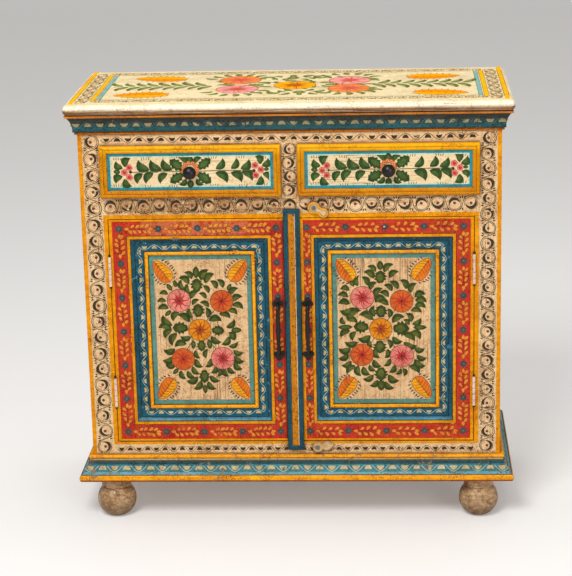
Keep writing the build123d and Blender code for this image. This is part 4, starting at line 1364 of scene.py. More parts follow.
# %% Motif: swirls
SWIRL_PAINTS = ("line_brown", "dark", "brown")
RING_STEPS = 18
RING_TURN = math.radians(345)
RING_LINE = 1.0 * MM
WINDING_LINE = 1.35 * MM
WINDING_REACH = 1.12
WINDING_LEANS = [math.radians(lean) for lean in (-62, -37, -12, 12, 37, 62)]
ROW_TURN = 198
TICK_LEANS = (-38, -4, 32)


def swirl(picture, centre, radius, turn, hand, paints=SWIRL_PAINTS):
    """A thin ring that curls inwards round a dark comma and a dot. The hand is 1 or -1."""
    u, v = centre
    ring_paint, comma_paint, dot_paint = paints
    ring = []
    for step in range(RING_STEPS + 1):
        share = step / RING_STEPS
        angle = math.radians(turn) - hand * RING_TURN * share
        reach = radius * (0.92 - 0.2 * max(0.0, share - 0.7) / 0.3)
        ring.append((u + reach * math.cos(angle), v + reach * math.sin(angle)))
    picture.line(ring_paint, ring, RING_LINE)
    size = random.uniform(1.5, 1.66) * radius
    own_turn = turn + random.uniform(-22, 22)
    picture.dab(comma_paint, "crescent", u, v, own_turn, size, hand * size, layer=1)
    picture.dab(dot_paint, "dot", u, v, own_turn, 0.44 * radius, 0.44 * radius, layer=2)


def swirl_row(picture, start, end, count, radius, paints=SWIRL_PAINTS):
    """Swirls that face by turns to either side, a line that winds round them, and ticks."""
    run_length, turn, at = run_along(start, end)
    pitch = run_length / (count - 1)
    winding = []
    for index in range(count):
        hand = 1 if index % 2 == 0 else -1
        centre = at(index * pitch, random.uniform(-0.5, 0.5) * MM)
        swirl(picture, centre, radius, turn + ROW_TURN, hand, paints)
        for lean in WINDING_LEANS:
            winding.append(at(index * pitch + WINDING_REACH * radius * math.sin(lean),
                              hand * WINDING_REACH * radius * math.cos(lean)))
        if index == count - 1:
            continue
        for side in (-1, 1):
            for lean in TICK_LEANS[: random.choice((2, 3))]:
                root = at((index + 0.5) * pitch + lean * 0.085 * MM, side * radius * 0.66)
                picture.dab(paints[1], "tick", *root, turn + side * (90 - lean), 6.2 * MM, 2.9 * MM)
    picture.line(paints[0], winding, WINDING_LINE)


print("a swirl's line is", RING_LINE / MM, "mm wide")


# %% [markdown]
# The leaves of the two bouquets are listed by kind, with their width as a share of their length and
# then their base and tip in millimetres from the middle: those that curl to the left, those that
# curl to the right, the straight ones and the ones with teeth. The doors were painted freehand, so
# the two lists are alike but not the same.

# %% Leaves of the bouquets
LEFT_BOUQUET = (
    ("curl", 0.60, (
        (6, 106, 22, 128), (14, 100, 34, 119), (-19, 77, -21, 99), (-31, 86, -34, 108),
        (-57, 10, -75, 33), (-14, 26, -20, 47), (-17, 67, 0, 82), (-14, 54, 1, 64),
        (63, 74, 82, 88), (68, 60, 90, 70), (68, 53, 90, 44), (59, 41, 78, 32), (41, 34, 63, 24),
        (19, 20, 45, 18), (-19, -15, -41, -13), (-53, -41, -77, -42), (-56, -58, -80, -65),
        (-53, -76, -74, -73), (-8, -102, -32, -110), (-1, -110, -18, -128), (32, -78, 19, -93),
        (38, -83, 33, -101), (60, -15, 43, -31), (10, -61, 16, -42), (21, -62, 8, -80),
        (59, -6, 71, -23),
    )),
    ("curl_back", 0.60, (
        (-13, 109, -28, 123), (-19, 99, -40, 111), (21, 79, 8, 94), (-63, 77, -81, 77),
        (-68, 62, -86, 60), (-63, 47, -85, 44), (-42, 39, -54, 19), (-21, 17, -46, 32),
        (-59, 3, -86, 4), (-58, 1, -72, -18), (16, 26, 13, 48), (15, 67, 0, 78), (20, 49, 2, 58),
        (37, 88, 24, 104), (50, 90, 38, 107), (55, 5, 71, 23), (65, -6, 72, -22),
        (-48, -7, -58, -34), (-29, -30, -53, -37), (-43, -88, -32, -106), (-29, -89, -13, -103),
        (-18, -79, -3, -95), (-11, -63, 4, -80), (13, -112, 30, -128), (18, -99, 38, -110),
        (48, -83, 57, -101), (56, -80, 71, -93), (69, -71, 86, -85), (69, -57, 90, -68),
        (68, -45, 88, -49), (59, -36, 77, -26), (23, -14, 44, -26), (-11, -44, -1, -61),
    )),
    ("straight", 0.52, (
        (-4, 111, -4, 136), (-46, 92, -49, 107), (-55, 85, -65, 99), (-58, 42, -71, 31),
        (59, 85, 67, 98), (65, -1, 86, -1), (-48, -84, -59, -95), (-14, -23, -15, -41),
        (18, -21, 20, -41), (6, -119, 7, -138),
    )),
    ("toothed", 0.84, (
        (-4, 82, -3, 110), (-25, 4, -56, 5), (-2, 28, -2, 56), (25, -1, 50, -2), (6, -87, 6, -115),
        (2, -23, 2, -46),
    )),
)
RIGHT_BOUQUET = (
    ("curl", 0.62, (
        (8, 121, 27, 137), (18, 109, 38, 121), (-21, 84, -7, 99), (-46, 92, -44, 112),
        (-57, 43, -83, 41), (-12, 69, 5, 86), (-11, 57, 10, 67), (-12, 27, -12, 50),
        (-69, 22, -40, 39), (-69, 20, -48, 13), (-73, 11, -78, 27), (-21, -14, -47, -19),
        (-48, -28, -74, -27), (14, -23, 18, -42), (14, -43, 7, -62), (18, -64, 5, -79),
        (-62, -42, -87, -41), (-67, -54, -88, -62), (-61, -69, -82, -77), (-16, -99, -38, -107),
        (-7, -110, -24, -122), (28, -78, 16, -93), (41, -85, 30, -97), (45, -85, 46, -102),
        (58, -80, 78, -97), (46, -12, 69, -27), (62, -6, 80, -23), (24, 14, 49, 25),
        (62, 39, 84, 34), (70, 50, 92, 44), (71, 60, 94, 56), (70, 68, 92, 73), (61, 77, 74, 97),
    )),
    ("curl_back", 0.62, (
        (-9, 122, -26, 133), (-13, 108, -34, 121), (-26, 93, -38, 111), (-54, 91, -69, 102),
        (-63, 83, -82, 85), (-66, 69, -87, 72), (-63, 54, -86, 54), (17, 69, -2, 77),
        (16, 51, -7, 58), (17, 24, 14, 44), (-16, 20, -44, 30), (-63, -3, -82, -18),
        (-51, -5, -57, -25), (-24, -22, -16, -39), (-13, -42, -2, -62), (-16, -66, 1, -80),
        (-53, -79, -69, -97), (-47, -78, -41, -101), (-37, -81, -22, -98), (-24, -77, -11, -89),
        (7, -114, 27, -127), (15, -99, 37, -111), (74, -57, 94, -62), (69, -66, 92, -79),
        (69, -41, 90, -42), (47, -29, 74, -35), (24, -17, 45, -26), (65, 10, 82, 24),
        (58, 8, 46, 19), (63, 15, 51, 33), (53, 85, 40, 104), (36, 85, 18, 100), (24, 81, 7, 93),
    )),
    ("straight", 0.66, ((0, 126, 0, 145), (0, -110, 0, -133))),
    ("straight", 0.36, ((-58, 5, -87, 4), (67, 3, 94, 3))),
    ("toothed", 0.92, (
        (0, 98, 0, 124), (1, 25, 1, 51), (-25, 5, -55, 5), (-2, -25, -2, -52), (0, -83, 0, -111),
        (26, 1, 58, 1),
    )),
)


print("leaves on the left door:", sum(len(ends) for *_, ends in LEFT_BOUQUET))


# %% [markdown]
# A blossom is a scalloped disc with a darker heart. The painter drew the heart as fine strokes that
# start thick in the middle and run out, then closed each petal with a thin curved line.

# %% Motif: blossom
HEART_STROKES = 18
PETALS = 9
SPOKE_SHARES = [step / 4 for step in range(5)]


def blossom(picture, u, v, across, petal, heart, line="umber", squash=1.0):
    """A disc with a heart of fine strokes, curved petal lines and a thin rim."""
    picture.dab(petal, "disc", u, v, random.uniform(0, 36), across, across * squash, layer=2)
    radius = across / 2

    def place(angle, reach):
        swing = math.radians(angle)
        return u + radius * reach * math.cos(swing), v + radius * reach * squash * math.sin(swing)

    def spoke(colour, angle, inner, outer, bend, width, taper, layer):
        points = [
            (*place(angle + bend * share**2, inner + (outer - inner) * share),
             1 - (1 - taper) * share)
            for share in SPOKE_SHARES
        ]
        picture.line(colour, points, width, layer)

    for index in range(HEART_STROKES):
        long = random.uniform(0.62, 0.78) if index % 2 == 0 else random.uniform(0.4, 0.5)
        spoke(heart, index * 360 / HEART_STROKES + random.uniform(-4, 4), inner=0.04, outer=long,
              bend=0, width=0.19 * radius, taper=0.2, layer=4)
    first = random.uniform(0, 360 / PETALS)
    for index in range(PETALS):
        spoke(line, first + index * 360 / PETALS + random.uniform(-6, 6), inner=0.08, outer=0.98,
              bend=20, width=0.045 * radius, taper=0.7, layer=6)
    picture.line(line, [place(index * 12, 0.985) for index in range(31)], 0.036 * radius, 5)
    picture.dab(line, "dot", u, v, 0, 0.25 * radius, 0.25 * radius * squash, layer=8)


print("strokes in a blossom:", 3 + HEART_STROKES + PETALS)


# %% [markdown]
# A leaf is a dark dab with a smaller, lighter one on top. A bouquet lays all the leaves of a list,
# then four stems and five blossoms. It can be stretched, because the same bouquet also fills the
# tall sides and the wide top.

# %% Motif: bouquet
STEMS = ((-41, 61), (45, 61), (-41, -61), (45, -60))


def shaded_leaf(picture, greens, kind, base, tip, fullness):
    """A leaf with a dark rim and a lighter middle."""
    base, tip = Vector(base), Vector(tip)
    picture.leaf(greens[0], kind, base, tip, fullness)
    picture.leaf(greens[1], kind, base + 0.16 * (tip - base), base + 0.76 * (tip - base),
                 0.85 * fullness, layer=2)


def bouquet(picture, centre, scale, leaf_scale, colours, blooms, leaves=LEFT_BOUQUET,
            green=("leaf_green", "leaf_light")):
    """Five blossoms with leaves between them."""
    (u0, v0), (su, sv) = centre, scale

    def at(u, v):
        return (u0 + u * su * MM, v0 + v * sv * MM)

    for kind, fullness, ends in leaves:
        for base_u, base_v, tip_u, tip_v in ends:
            middle = Vector(at((base_u + tip_u) / 2, (base_v + tip_v) / 2))
            half = Vector((tip_u - base_u, tip_v - base_v)) * leaf_scale * MM / 2
            shaded_leaf(picture, green, kind, middle - half, middle + half,
                        fullness * random.uniform(0.92, 1.08))
    for u, v in STEMS:
        picture.line("stem", [at(0.2 * u, 0.2 * v), at(0.75 * u, 0.75 * v)], 1.6 * MM)
    for (u, v), paints, across in zip(blooms, *colours):
        blossom(picture, u, v, across, *paints)


print("a bouquet has", len(STEMS), "stems")


# %% [markdown]
# In each corner lies a broad leaf, one half of it orange, with veins and a row of ticks round it.
# The ticks follow the same outline as the leaf, so the leaf's edge is passed in as a function.

# %% Motif: corner leaf
RIM_STEPS = [step / 14 for step in range(15)]
VEINS = 6
TICKS = 8


def corner_leaf(picture, base, tip, width, paints=("amber", "leaf_orange", "umber", "dark"),
                shape=("oval", "half_oval", blunt)):
    """A broad leaf, one half orange, with veins and a row of ticks round it."""
    length, turn, at = run_along(base, tip)
    outer = -1 if (tip.x < base.x) == (tip.y < base.y) else 1
    whole, half, edge = shape
    bright, shade, vein, tick = paints
    picture.dab(bright, whole, *base, turn, length, width, layer=1)
    picture.dab(shade, half, *base, turn, length, outer * width, layer=3)
    picture.line(vein, [(*at(0.02 * length, 0), 0.6), (*at(0.94 * length, 0), 1.2)], 1.3 * MM, 6)
    for side in (-1, 1):
        for index in range(VEINS):
            root = 0.22 + 0.13 * index
            reach = 0.46 * width * edge(max(0.06, root - 0.14))
            rib = ((root, 0, 1.1), (root - 0.06, 0.6, 0.9), (root - 0.15, 1, 0.5))
            points = [(*at(share * length, side * reach * out), full) for share, out, full in rib]
            picture.line(vein, points, 0.8 * MM, 5)
        rim = [at(share * length, side * 0.5 * width * edge(share)) for share in RIM_STEPS]
        picture.line(vein, rim, 0.9 * MM, 4)
        for index in range(TICKS):
            share = 0.02 + 0.115 * index
            gap = 0.5 * width * edge(share) + 2.6 * MM
            picture.dab(tick, "tick", *at(share * length, side * gap),
                        turn + side * random.uniform(70, 100), 7.6 * MM, 2.7 * MM)


def leaves_in_corners(picture, u_span, v_span, inset, reach, width, **look):
    """One corner leaf in each corner of a rectangle, with its tip set in from the corner."""
    for corner_u, along in zip(u_span, (1, -1)):
        for corner_v, up in zip(v_span, (1, -1)):
            tip = Vector((corner_u + along * inset[0], corner_v + up * inset[1]))
            base = tip + Vector((along * reach[0], up * reach[1]))
            corner_leaf(picture, base, tip, width, **look)


print("veins on each half of a leaf:", VEINS)


# %% [markdown]
# The face frame comes first. Its cream boards carry chains of swirls, its narrow rails carry dark
# waves, and flat yellow bands frame it at the corners and round the door opening.

# %% Face frame
BODY_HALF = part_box("side_right")[1].x
OPENING_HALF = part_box("stile_right")[0].x
DOOR_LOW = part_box("left_door_stiles")[0].z - 2 * MM
DOOR_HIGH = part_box("left_door_stiles")[1].z + 1.5 * MM
FRAME_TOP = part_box("cornice_front")[0].z
FRAME_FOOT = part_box("plinth_front")[1].z
LIP_LOW, LIP_HIGH = (corner.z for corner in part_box("left_drawer_front"))
STRIPE = 8 * MM
BAND = 8.5 * MM
FOOT_BAND = 5.3 * MM
SWIRL = 14.6 * MM

chains = Picture("frame_swirls", "carcass", front_at(FACE))
stile_u = (BODY_HALF - STRIPE + OPENING_HALF + BAND) / 2
rail_v = (DOOR_HIGH + BAND + LIP_LOW) / 2
for side, count, radius in ((-1, 20, SWIRL), (1, 22, 0.93 * SWIRL)):
    swirl_row(chains, (side * stile_u, 0.806), (side * stile_u, 0.156), count, radius)
    swirl_row(chains, (side * 32 * MM, rail_v), (side * 364 * MM, rail_v), 11, SWIRL)
swirl(chains, (0, rail_v), SWIRL, 10, 1)
swirl_row(chains, (0, LIP_LOW + 11 * MM), (0, LIP_HIGH - 11 * MM), 4, 13 * MM)
chains.finish()

rail_picture = Picture("rail_waves", "carcass", front_at(FACE))
for half, v, count, height, moon in (
    (0.378, (LIP_HIGH + FRAME_TOP) / 2, 34, 6.4 * MM, 0.56),
    (0.374, (FRAME_FOOT + DOOR_LOW - FOOT_BAND) / 2, 41, 6.0 * MM, 0.6),
):
    wave(rail_picture, (-half, v), (half, v), count, height, "dark", "line_brown", 1.1 * MM, moon)
rail_picture.finish()

stripes = Picture("frame_bands", "carcass", front_at(FACE))
for side in (-1, 1):
    outer_u, inner_u = side * (BODY_HALF - STRIPE / 2), side * (OPENING_HALF + BAND / 2)
    stripes.band("yellow", (outer_u, FRAME_FOOT), (outer_u, FRAME_TOP), STRIPE)
    stripes.band("yellow", (inner_u, DOOR_LOW - FOOT_BAND), (inner_u, DOOR_HIGH + BAND), BAND)
for v, width in ((DOOR_HIGH + BAND / 2, BAND), (DOOR_LOW - FOOT_BAND / 2, FOOT_BAND)):
    stripes.band("yellow", (-OPENING_HALF, v), (OPENING_HALF, v), width)
stripes.finish()


# %% [markdown]
# The cornice and the plinth are hollow mouldings. Their waves are drawn on a flat sheet like the
# others, and the surface functions bend that sheet over the hollow.

# %% Cornice and plinth
BODY_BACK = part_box("side_right")[1].y
# The cornice's wave uses the darker copies of the plinth's paints, as painted shade under the top.
WAVES = {
    "cornice": {
        "reach": hollow(0.828, 0.859, 8 * MM, 18 * MM, 3.5 * MM), "level": 0.8425, "count": 36,
        "height": 7.0 * MM, "corner": 12 * MM, "paints": ("dim_moon", "dim_line", 1.0 * MM),
    },
    "plinth": {
        "reach": hollow(0.101, 0.1275, 23.5 * MM, 10 * MM, 4 * MM), "level": 0.1132, "count": 35,
        "height": 7.2 * MM, "corner": 18 * MM, "paints": ("moonshine", "thin_cream", 1.5 * MM),
    },
}
for name, plan in WAVES.items():
    reach, level, corner = plan["reach"], plan["level"], plan["corner"]
    half = BODY_HALF + corner
    waves = Picture(f"{name}_front_wave", "carcass", over_front(reach))
    wave(waves, (-half, level), (half, level), plan["count"], plan["height"], *plan["paints"],
         moon=0.62)
    waves.finish()
    start, end = FACE - corner, BODY_BACK - 4 * MM
    side_count = round((end - start) * plan["count"] / (2 * half))
    for side, word in ((-1, "left"), (1, "right")):
        waves = Picture(f"{name}_{word}_wave", "carcass", over_side(side, BODY_HALF, reach))
        wave(waves, (side * start, level), (side * end, level), side_count, plan["height"],
             *plan["paints"])
        waves.finish()


# %% [markdown]
# Each door is painted in rings: a yellow edge, a red frame with ochre sprigs and small dark
# flowers, a second yellow line, the blue moulding with its wave, and the cream panel with its
# bouquet. First come the places: each ring is a rectangle set in from a board's own corners.

# %% Doors: where the rings lie
EDGE = 6.4 * MM
INNER = 6.3 * MM
PANEL_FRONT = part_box("left_door_panel")[0].y
MOULDING_TOP = PANEL_FRONT - 2.5 * MM


def rectangle(box, inset):
    """How far a board reaches across and up, set in from its corners."""
    low, high = box
    return (low.x + inset, high.x - inset), (low.z + inset, high.z - inset)


def outlined(picture, colour, u_span, v_span, width, layer=0):
    """A dark line round a rectangle, centred on its sides."""
    half = width / 2
    picture.border(colour, (u_span[0] - half, u_span[1] + half),
                   (v_span[0] - half, v_span[1] + half), width, layer)


DOORS = {}
for word, side in (("left", -1), ("right", 1)):
    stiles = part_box(f"{word}_door_stiles")
    DOORS[word] = {
        "side": side,
        "stiles": (stiles[0].z, stiles[1].z),
        "opening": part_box(f"{word}_door_moulding"),
        "bead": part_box(f"{word}_door_bead"),
        "outer_u": side * (OPENING_HALF - 1.5 * MM),
        "meeting_u": stiles[1].x if side < 0 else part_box("meeting_strip")[1].x,
    }
print("doors to paint:", list(DOORS))


# %% [markdown]
# The yellow lines run down the hinge side, along the top and the foot, beside the strip on the
# right door, and round the opening, where a dark glaze line sharpens them.

# %% Doors: yellow lines
def door_lines(word):
    """The yellow lines on the frame of one door."""
    door = DOORS[word]
    side, meeting_u = door["side"], door["meeting_u"]
    low_v, high_v = door["stiles"]
    edge_u = door["outer_u"] - side * EDGE / 2
    lines = Picture(f"{word}_door_lines", f"{word}_door", front_at(FACE))
    lines.band("yellow", (edge_u, low_v), (edge_u, high_v), EDGE)
    left_u, right_u = sorted((door["outer_u"], meeting_u))
    for v in (low_v + 2 * MM, high_v - 1.85 * MM):
        lines.band("yellow", (left_u, v), (right_u, v), 4 * MM)
    if side > 0:
        beside = meeting_u + 3.2 * MM
        lines.band("yellow", (beside, low_v), (beside, high_v), 5.6 * MM)
    around = rectangle(door["opening"], -INNER)
    lines.border("yellow", *around, INNER)
    outlined(lines, "glaze", *around, 1.1 * MM, 3)
    lines.finish()


print("edge line", EDGE / MM, "mm, inner line", INNER / MM, "mm")


# %% [markdown]
# On the red, small dark flowers sit at even steps on a thin stem. Between them ochre leaves stand
# to both sides, with a bud beside each flower. Each leaf is laid twice, dark and then ochre, which
# leaves a dark rim.

# %% Doors: trails of flowers
RIM = 0.7 * MM


def flower_trail(picture, start, end, spaces, first=0):
    """Small dark flowers at even steps on a thin stem, with ochre leaves and buds between them."""
    run_length, turn, at = run_along(start, end)
    pitch = run_length / spaces
    picture.line("maroon", [at(step * pitch / 6, random.uniform(-1.2, 1.2) * MM)
                            for step in range(6 * spaces + 1)], 1.0 * MM)
    for index in range(first, spaces + 1 - first):
        place = at(index * pitch, random.uniform(-0.6, 0.6) * MM)
        picture.dab("night", "rosette", *place, random.uniform(0, 60), 16 * MM, 16 * MM, layer=2)
        picture.dab("stem", "dot", *place, 0, 5.4 * MM, 5.4 * MM, layer=4)
    count = 2 * round((pitch - 36 * MM) / (12.5 * MM)) + 1
    for index in range(spaces):
        leaves = [(index * pitch + 10 * MM, 0, 0, 10.5, 0.66),
                  ((index + 1) * pitch - 10 * MM, 0, 180, 10.5, 0.66)]
        for number in range(count):
            side = 1 if number % 2 else -1
            along = index * pitch + 18 * MM + (pitch - 40 * MM) * number / (count - 1)
            leaves.append((along, side * 2.2 * MM, side * random.uniform(28, 52),
                           random.uniform(10, 12.5), 0.56))
        for along, offset, lean, long, fullness in leaves:
            direction = math.radians(turn + lean)
            ahead = Vector((math.cos(direction), math.sin(direction)))
            base = at(along, offset)
            tip = base + ahead * long * MM
            picture.leaf("maroon", "tick", tip + RIM * ahead, base - RIM * ahead, fullness * 1.06)
            picture.leaf("ochre", "tick", tip, base, fullness, layer=2)


def door_trail(word):
    """The trails on the four members of one door's frame."""
    door = DOORS[word]
    trail = Picture(f"{word}_door_trail", f"{word}_door", front_at(FACE))
    outer = door["outer_u"] - door["side"] * (EDGE + 14.5 * MM)
    near = -29 * MM if door["side"] < 0 else 32 * MM
    low, high = door["opening"]
    rail_low = (door["stiles"][0] + 4 * MM + low.z - INNER) / 2
    rail_high = (door["stiles"][1] - 4 * MM + high.z + INNER) / 2
    for u in (outer, near):
        flower_trail(trail, (u, rail_low), (u, rail_high), 6)
    for v in (rail_low, rail_high):
        flower_trail(trail, (min(outer, near), v), (max(outer, near), v), 4, first=1)
    trail.finish()


print("rim of a leaf:", RIM / MM, "mm")


# %% [markdown]
# The blue moulding carries the wave on its flat, with dark lines along its steps and round the bead
# as painted shade. The lines on its outer lip lie on another level, so they make a picture of their
# own.

# %% Doors: waves on the blue moulding
def door_waves(word):
    """The wave and the dark lines of painted shade on one door's moulding."""
    door = DOORS[word]
    waves = Picture(f"{word}_door_wave", f"{word}_door", front_at(MOULDING_TOP))
    (left, right), (low, high) = rectangle(door["opening"], 18.5 * MM)
    corners = [(left, low), (right, low), (right, high), (left, high)]
    for start, end, count in zip(corners, corners[1:] + corners[:1], (12, 18, 12, 18)):
        wave(waves, start, end, count, 5.2 * MM, "moonshine", "thin_cream", 1.2 * MM, moon=0.54)
    # Painted shade: dark lines at the foot of the slope and round the bead.
    outlined(waves, "blue_glaze", *rectangle(door["opening"], 8.5 * MM), 1.4 * MM)
    outlined(waves, "glaze", *rectangle(door["bead"], -0.8 * MM), 1.6 * MM)
    waves.finish()
    lip = Picture(f"{word}_moulding_edge", f"{word}_door", front_at(door["opening"][0].y))
    # Painted shade along the lip of the moulding.
    outlined(lip, "blue_glaze", *rectangle(door["opening"], 0.8 * MM), 1.4 * MM)
    lip.finish()


print("the wave lies", round((MOULDING_TOP - FACE) / MM, 2), "mm behind the front of the frame")


# %% [markdown]
# The panel has a teal border inside the bead, the bouquet, and a leaf in each corner. With all four
# rings defined, one loop paints both doors.

# %% Doors: panels, and both doors painted
BLOOMS = {
    "left": [(-0.2330, 0.4714), (-0.1451, 0.4697), (-0.1919, 0.4084), (-0.2288, 0.3452),
             (-0.1465, 0.3467)],
    "right": [(0.1435, 0.4750), (0.2235, 0.4669), (0.1804, 0.4077), (0.1414, 0.3524),
              (0.2234, 0.3493)],
}
BOUQUETS = {"left": LEFT_BOUQUET, "right": RIGHT_BOUQUET}
BLOOM_COLOURS = [("pink", "crimson"), ("orange", "vermilion"), ("marigold", "rust"),
                 ("orange", "vermilion"), ("pink", "crimson")]
BLOOM_WIDTHS = [49 * MM, 48 * MM, 47 * MM, 48 * MM, 49 * MM]
BEAD = 7 * MM


def door_panel(word):
    """The painted field of one door."""
    bead = DOORS[word]["bead"]
    field = Picture(f"{word}_panel", f"{word}_door", front_at(PANEL_FRONT))
    field.border("teal", *rectangle(bead, BEAD), 10.5 * MM)
    # A dark line just inside the bead is painted shade.
    outlined(field, "glaze", *rectangle(bead, BEAD + 0.7 * MM), 1.3 * MM, 2)
    bouquet(field, BLOOMS[word][2], (1.0, 1.0), 1.05, (BLOOM_COLOURS, BLOOM_WIDTHS), BLOOMS[word],
            BOUQUETS[word])
    leaves_in_corners(field, *rectangle(bead, 0), (18.5 * MM, 20 * MM), (32 * MM, 44 * MM), 31 * MM,
                      shape=("corner", "half_corner", stub))
    field.finish()


for word in DOORS:
    door_lines(word)
    door_trail(word)
    door_waves(word)
    door_panel(word)


# %% [markdown]
# A drawer front is one long spray: a stem from the knob to each end, curled leaves along it in
# pairs, a crown of leaves behind the knob, and three berries in a nest of leaves at the ends.

# %% Drawers
SPRAY = (
    ("curl_back", 0.62, (
        (-74, -2, -90, -25), (-96, -3, -107, -25), (-46, -3, -61, -25), (52, 4, 66, 27),
        (83, 4, 93, 27), (102, 4, 119, 24), (-6, 16, -24, 28), (12, -15, 27, -27),
    )),
    ("curl", 0.62, (
        (-82, 3, -104, 25), (-57, 3, -79, 25), (-36, 3, -54, 27), (51, -3, 74, -25),
        (82, -3, 103, -24), (104, -1, 125, -21), (8, 16, 25, 27), (-8, -15, -24, -26),
    )),
    ("curl_back", 0.8, (
        (-137, -8, -151, -24), (-134, -14, -118, -29), (142, 13, 131, 30), (145, 9, 157, 26),
    )),
    ("curl", 0.8, (
        (-136, 7, -149, 23), (-132, 10, -119, 28), (146, -5, 158, -20), (143, -11, 131, -28),
    )),
    ("straight", 0.7, ((0, 13, 0, 34), (0, -17, 0, -35), (-141, 0, -155, 1), (149, 3, 159, 3))),
    ("toothed", 0.66, ((-14, 4, -41, 24), (-14, -4, -41, -23), (16, 5, 42, 26), (15, -4, 42, -24))),
)
BERRIES = ((-123, 9), (-133, -1), (-123, -11), (131, 11), (143, 2), (132, -9))
BERRY_DABS = (("crimson", 14.4 * MM, 2), ("pink", 13 * MM, 4), ("crimson", 8 * MM, 6))
PETAL_DABS = (("orange", 10.4 * MM, 2), ("peach", 7 * MM, 4), ("orange", 3.6 * MM, 6))
CROWN_PETALS = 11
RAYS = ((-89, 27), (-32, 30), (47, 28), (103, 29), (-88, -30), (-34, -30), (49, -29), (107, -30),
        (-145, 27), (-147, -28), (147, 28), (148, -28))


def drawer_spray(picture, centre, petal_ring, petal_lift):
    """The spray of one drawer front, in millimetres from the knob."""

    def at(u, v):
        return (centre[0] + u * MM, centre[1] + v * MM)

    picture.line("stem", [at(-119, -1), at(-60, 1), at(0, 0), at(60, 1), at(127, 1)], 1.5 * MM)
    for kind, fullness, ends in SPRAY:
        for base_u, base_v, tip_u, tip_v in ends:
            shaded_leaf(picture, ("spray_green", "spray_light"), kind, at(base_u, base_v),
                        at(tip_u, tip_v), fullness * random.uniform(0.95, 1.1))
    for u, v in BERRIES:
        for colour, across, layer in BERRY_DABS:
            picture.dab(colour, "dot", *at(u, v), 0, across, across, layer)
        picture.dab("pink", "tick", *at(u + 0.6, v + 1), 60, 3.4 * MM, 1.8 * MM, layer=8)
    for u in (-120.5, 128.5):
        picture.dab("dark", "dot", *at(u, 0), 0, 7 * MM, 7 * MM, layer=2)
    for u, v in RAYS:
        for ray in range(4):
            picture.dab("line_brown", "tick", *at(u - 7 + 4 * ray, v - 3), 112 - 14 * ray, 7 * MM,
                        1.3 * MM)
    for index in range(CROWN_PETALS):
        lean = math.radians(index * 360 / CROWN_PETALS)
        petal = at(petal_ring * math.cos(lean), petal_lift + petal_ring * math.sin(lean))
        for colour, across, layer in PETAL_DABS:
            picture.dab(colour, "dot", *petal, 0, across, across, layer)


MOULDING = 15 * MM
SKY_RIM = 6.2 * MM
MIST_RIM = 2.4 * MM
for word, petal_ring, petal_lift in (("left", 14, 3.5), ("right", 12.5, 4.5)):
    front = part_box(f"{word}_drawer_front")
    spray = Picture(f"{word}_spray", f"{word}_drawer", front_at(front[0].y))
    spray.border("cyan", *rectangle(front, MOULDING), SKY_RIM)
    spray.border("mist", *rectangle(front, MOULDING + SKY_RIM), MIST_RIM)
    knob_low, knob_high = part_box(f"{word}_drawer_knob")
    knob = (knob_low + knob_high) / 2
    drawer_spray(spray, (knob.x, knob.z), petal_ring, petal_lift)
    spray.finish()


# %% [markdown]
# The strip that covers the gap between the doors is blue with a yellow groove. The groove gets a
# thin plate of paint, a pale line along its right side, dark lines along its edges as painted
# shade, and dark flecks.

# %% Meeting strip
FLECKS = 130
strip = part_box("meeting_strip")
groove = Picture("strip_groove", "right_door", front_at(strip[0].y + 2 * MM))
left_u, right_u = strip[0].x + 8.7 * MM, strip[1].x - 8.7 * MM
low_v, high_v = strip[0].z + 8.5 * MM, strip[1].z - 8.5 * MM
middle_u = (left_u + right_u) / 2
chalk_u = right_u - 1.8 * MM
groove.band("old_yellow", (middle_u, low_v), (middle_u, high_v), right_u - left_u)
groove.band("chalk", (chalk_u, low_v), (chalk_u, high_v), 1.2 * MM, layer=2)
# Painted shade along the edges of the groove.
outlined(groove, "glaze", (left_u + 0.5 * MM, right_u - 0.5 * MM),
         (low_v + 0.5 * MM, high_v - 0.5 * MM), 1.0 * MM, 2)
for _ in range(FLECKS):
    place = (middle_u + random.triangular(-6, 7, 5) * MM, random.uniform(low_v, high_v))
    groove.dab("glaze", "tick", *place, 90 + random.uniform(-25, 25), random.uniform(2, 6) * MM,
               random.uniform(0.8, 1.7) * MM, 3)
groove.finish()


# %% [markdown]
# The pulls were beaten from bar iron, so the grip is not an even rod: it swells below the upper
# plate and thins out downwards. A circle is extruded ring by ring down the grip and each ring is
# resized, as a smith draws out a bar. Every ring is rounded a little unevenly by the hammer.

# %% Forged grips
GRIP_CORNERS = 16
GRIP_RINGS = 14
BAR = 3.2 * MM
PLATE = 23 * MM


def forged_grip(name, body, centre, top, bottom, slim, full):
    """A swelling drawn out ring by ring along the grip of a pull."""
    deselect_all()
    bpy.ops.mesh.primitive_circle_add(vertices=GRIP_CORNERS, radius=slim, fill_type="NGON",
                                      location=(*centre, bottom))
    grip = bpy.context.object
    grip.name = name
    bpy.ops.object.transform_apply(location=True)
    bpy.ops.object.mode_set(mode="EDIT")
    bpy.ops.mesh.select_all(action="SELECT")
    radius = slim
    for ring in range(1, GRIP_RINGS + 1):
        share = ring / GRIP_RINGS
        wanted = slim + (full - slim) * math.sin(math.pi * share**1.5) ** 0.8
        wanted *= random.uniform(0.97, 1.03)
        if ring == GRIP_RINGS:
            wanted = slim
        bpy.ops.mesh.extrude_region_move(
            TRANSFORM_OT_translate={"value": (0, 0, (top - bottom) / GRIP_RINGS)}
        )
        bpy.ops.transform.resize(value=(wanted / radius, wanted / radius, 1),
                                 center_override=(*centre, bottom + (top - bottom) * share))
        radius = wanted
    face_outwards()
    bpy.ops.object.shade_smooth_by_angle(angle=math.radians(50))
    grip.data.materials.append(iron)
    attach(grip, body)
    print(name, "rings:", GRIP_RINGS)


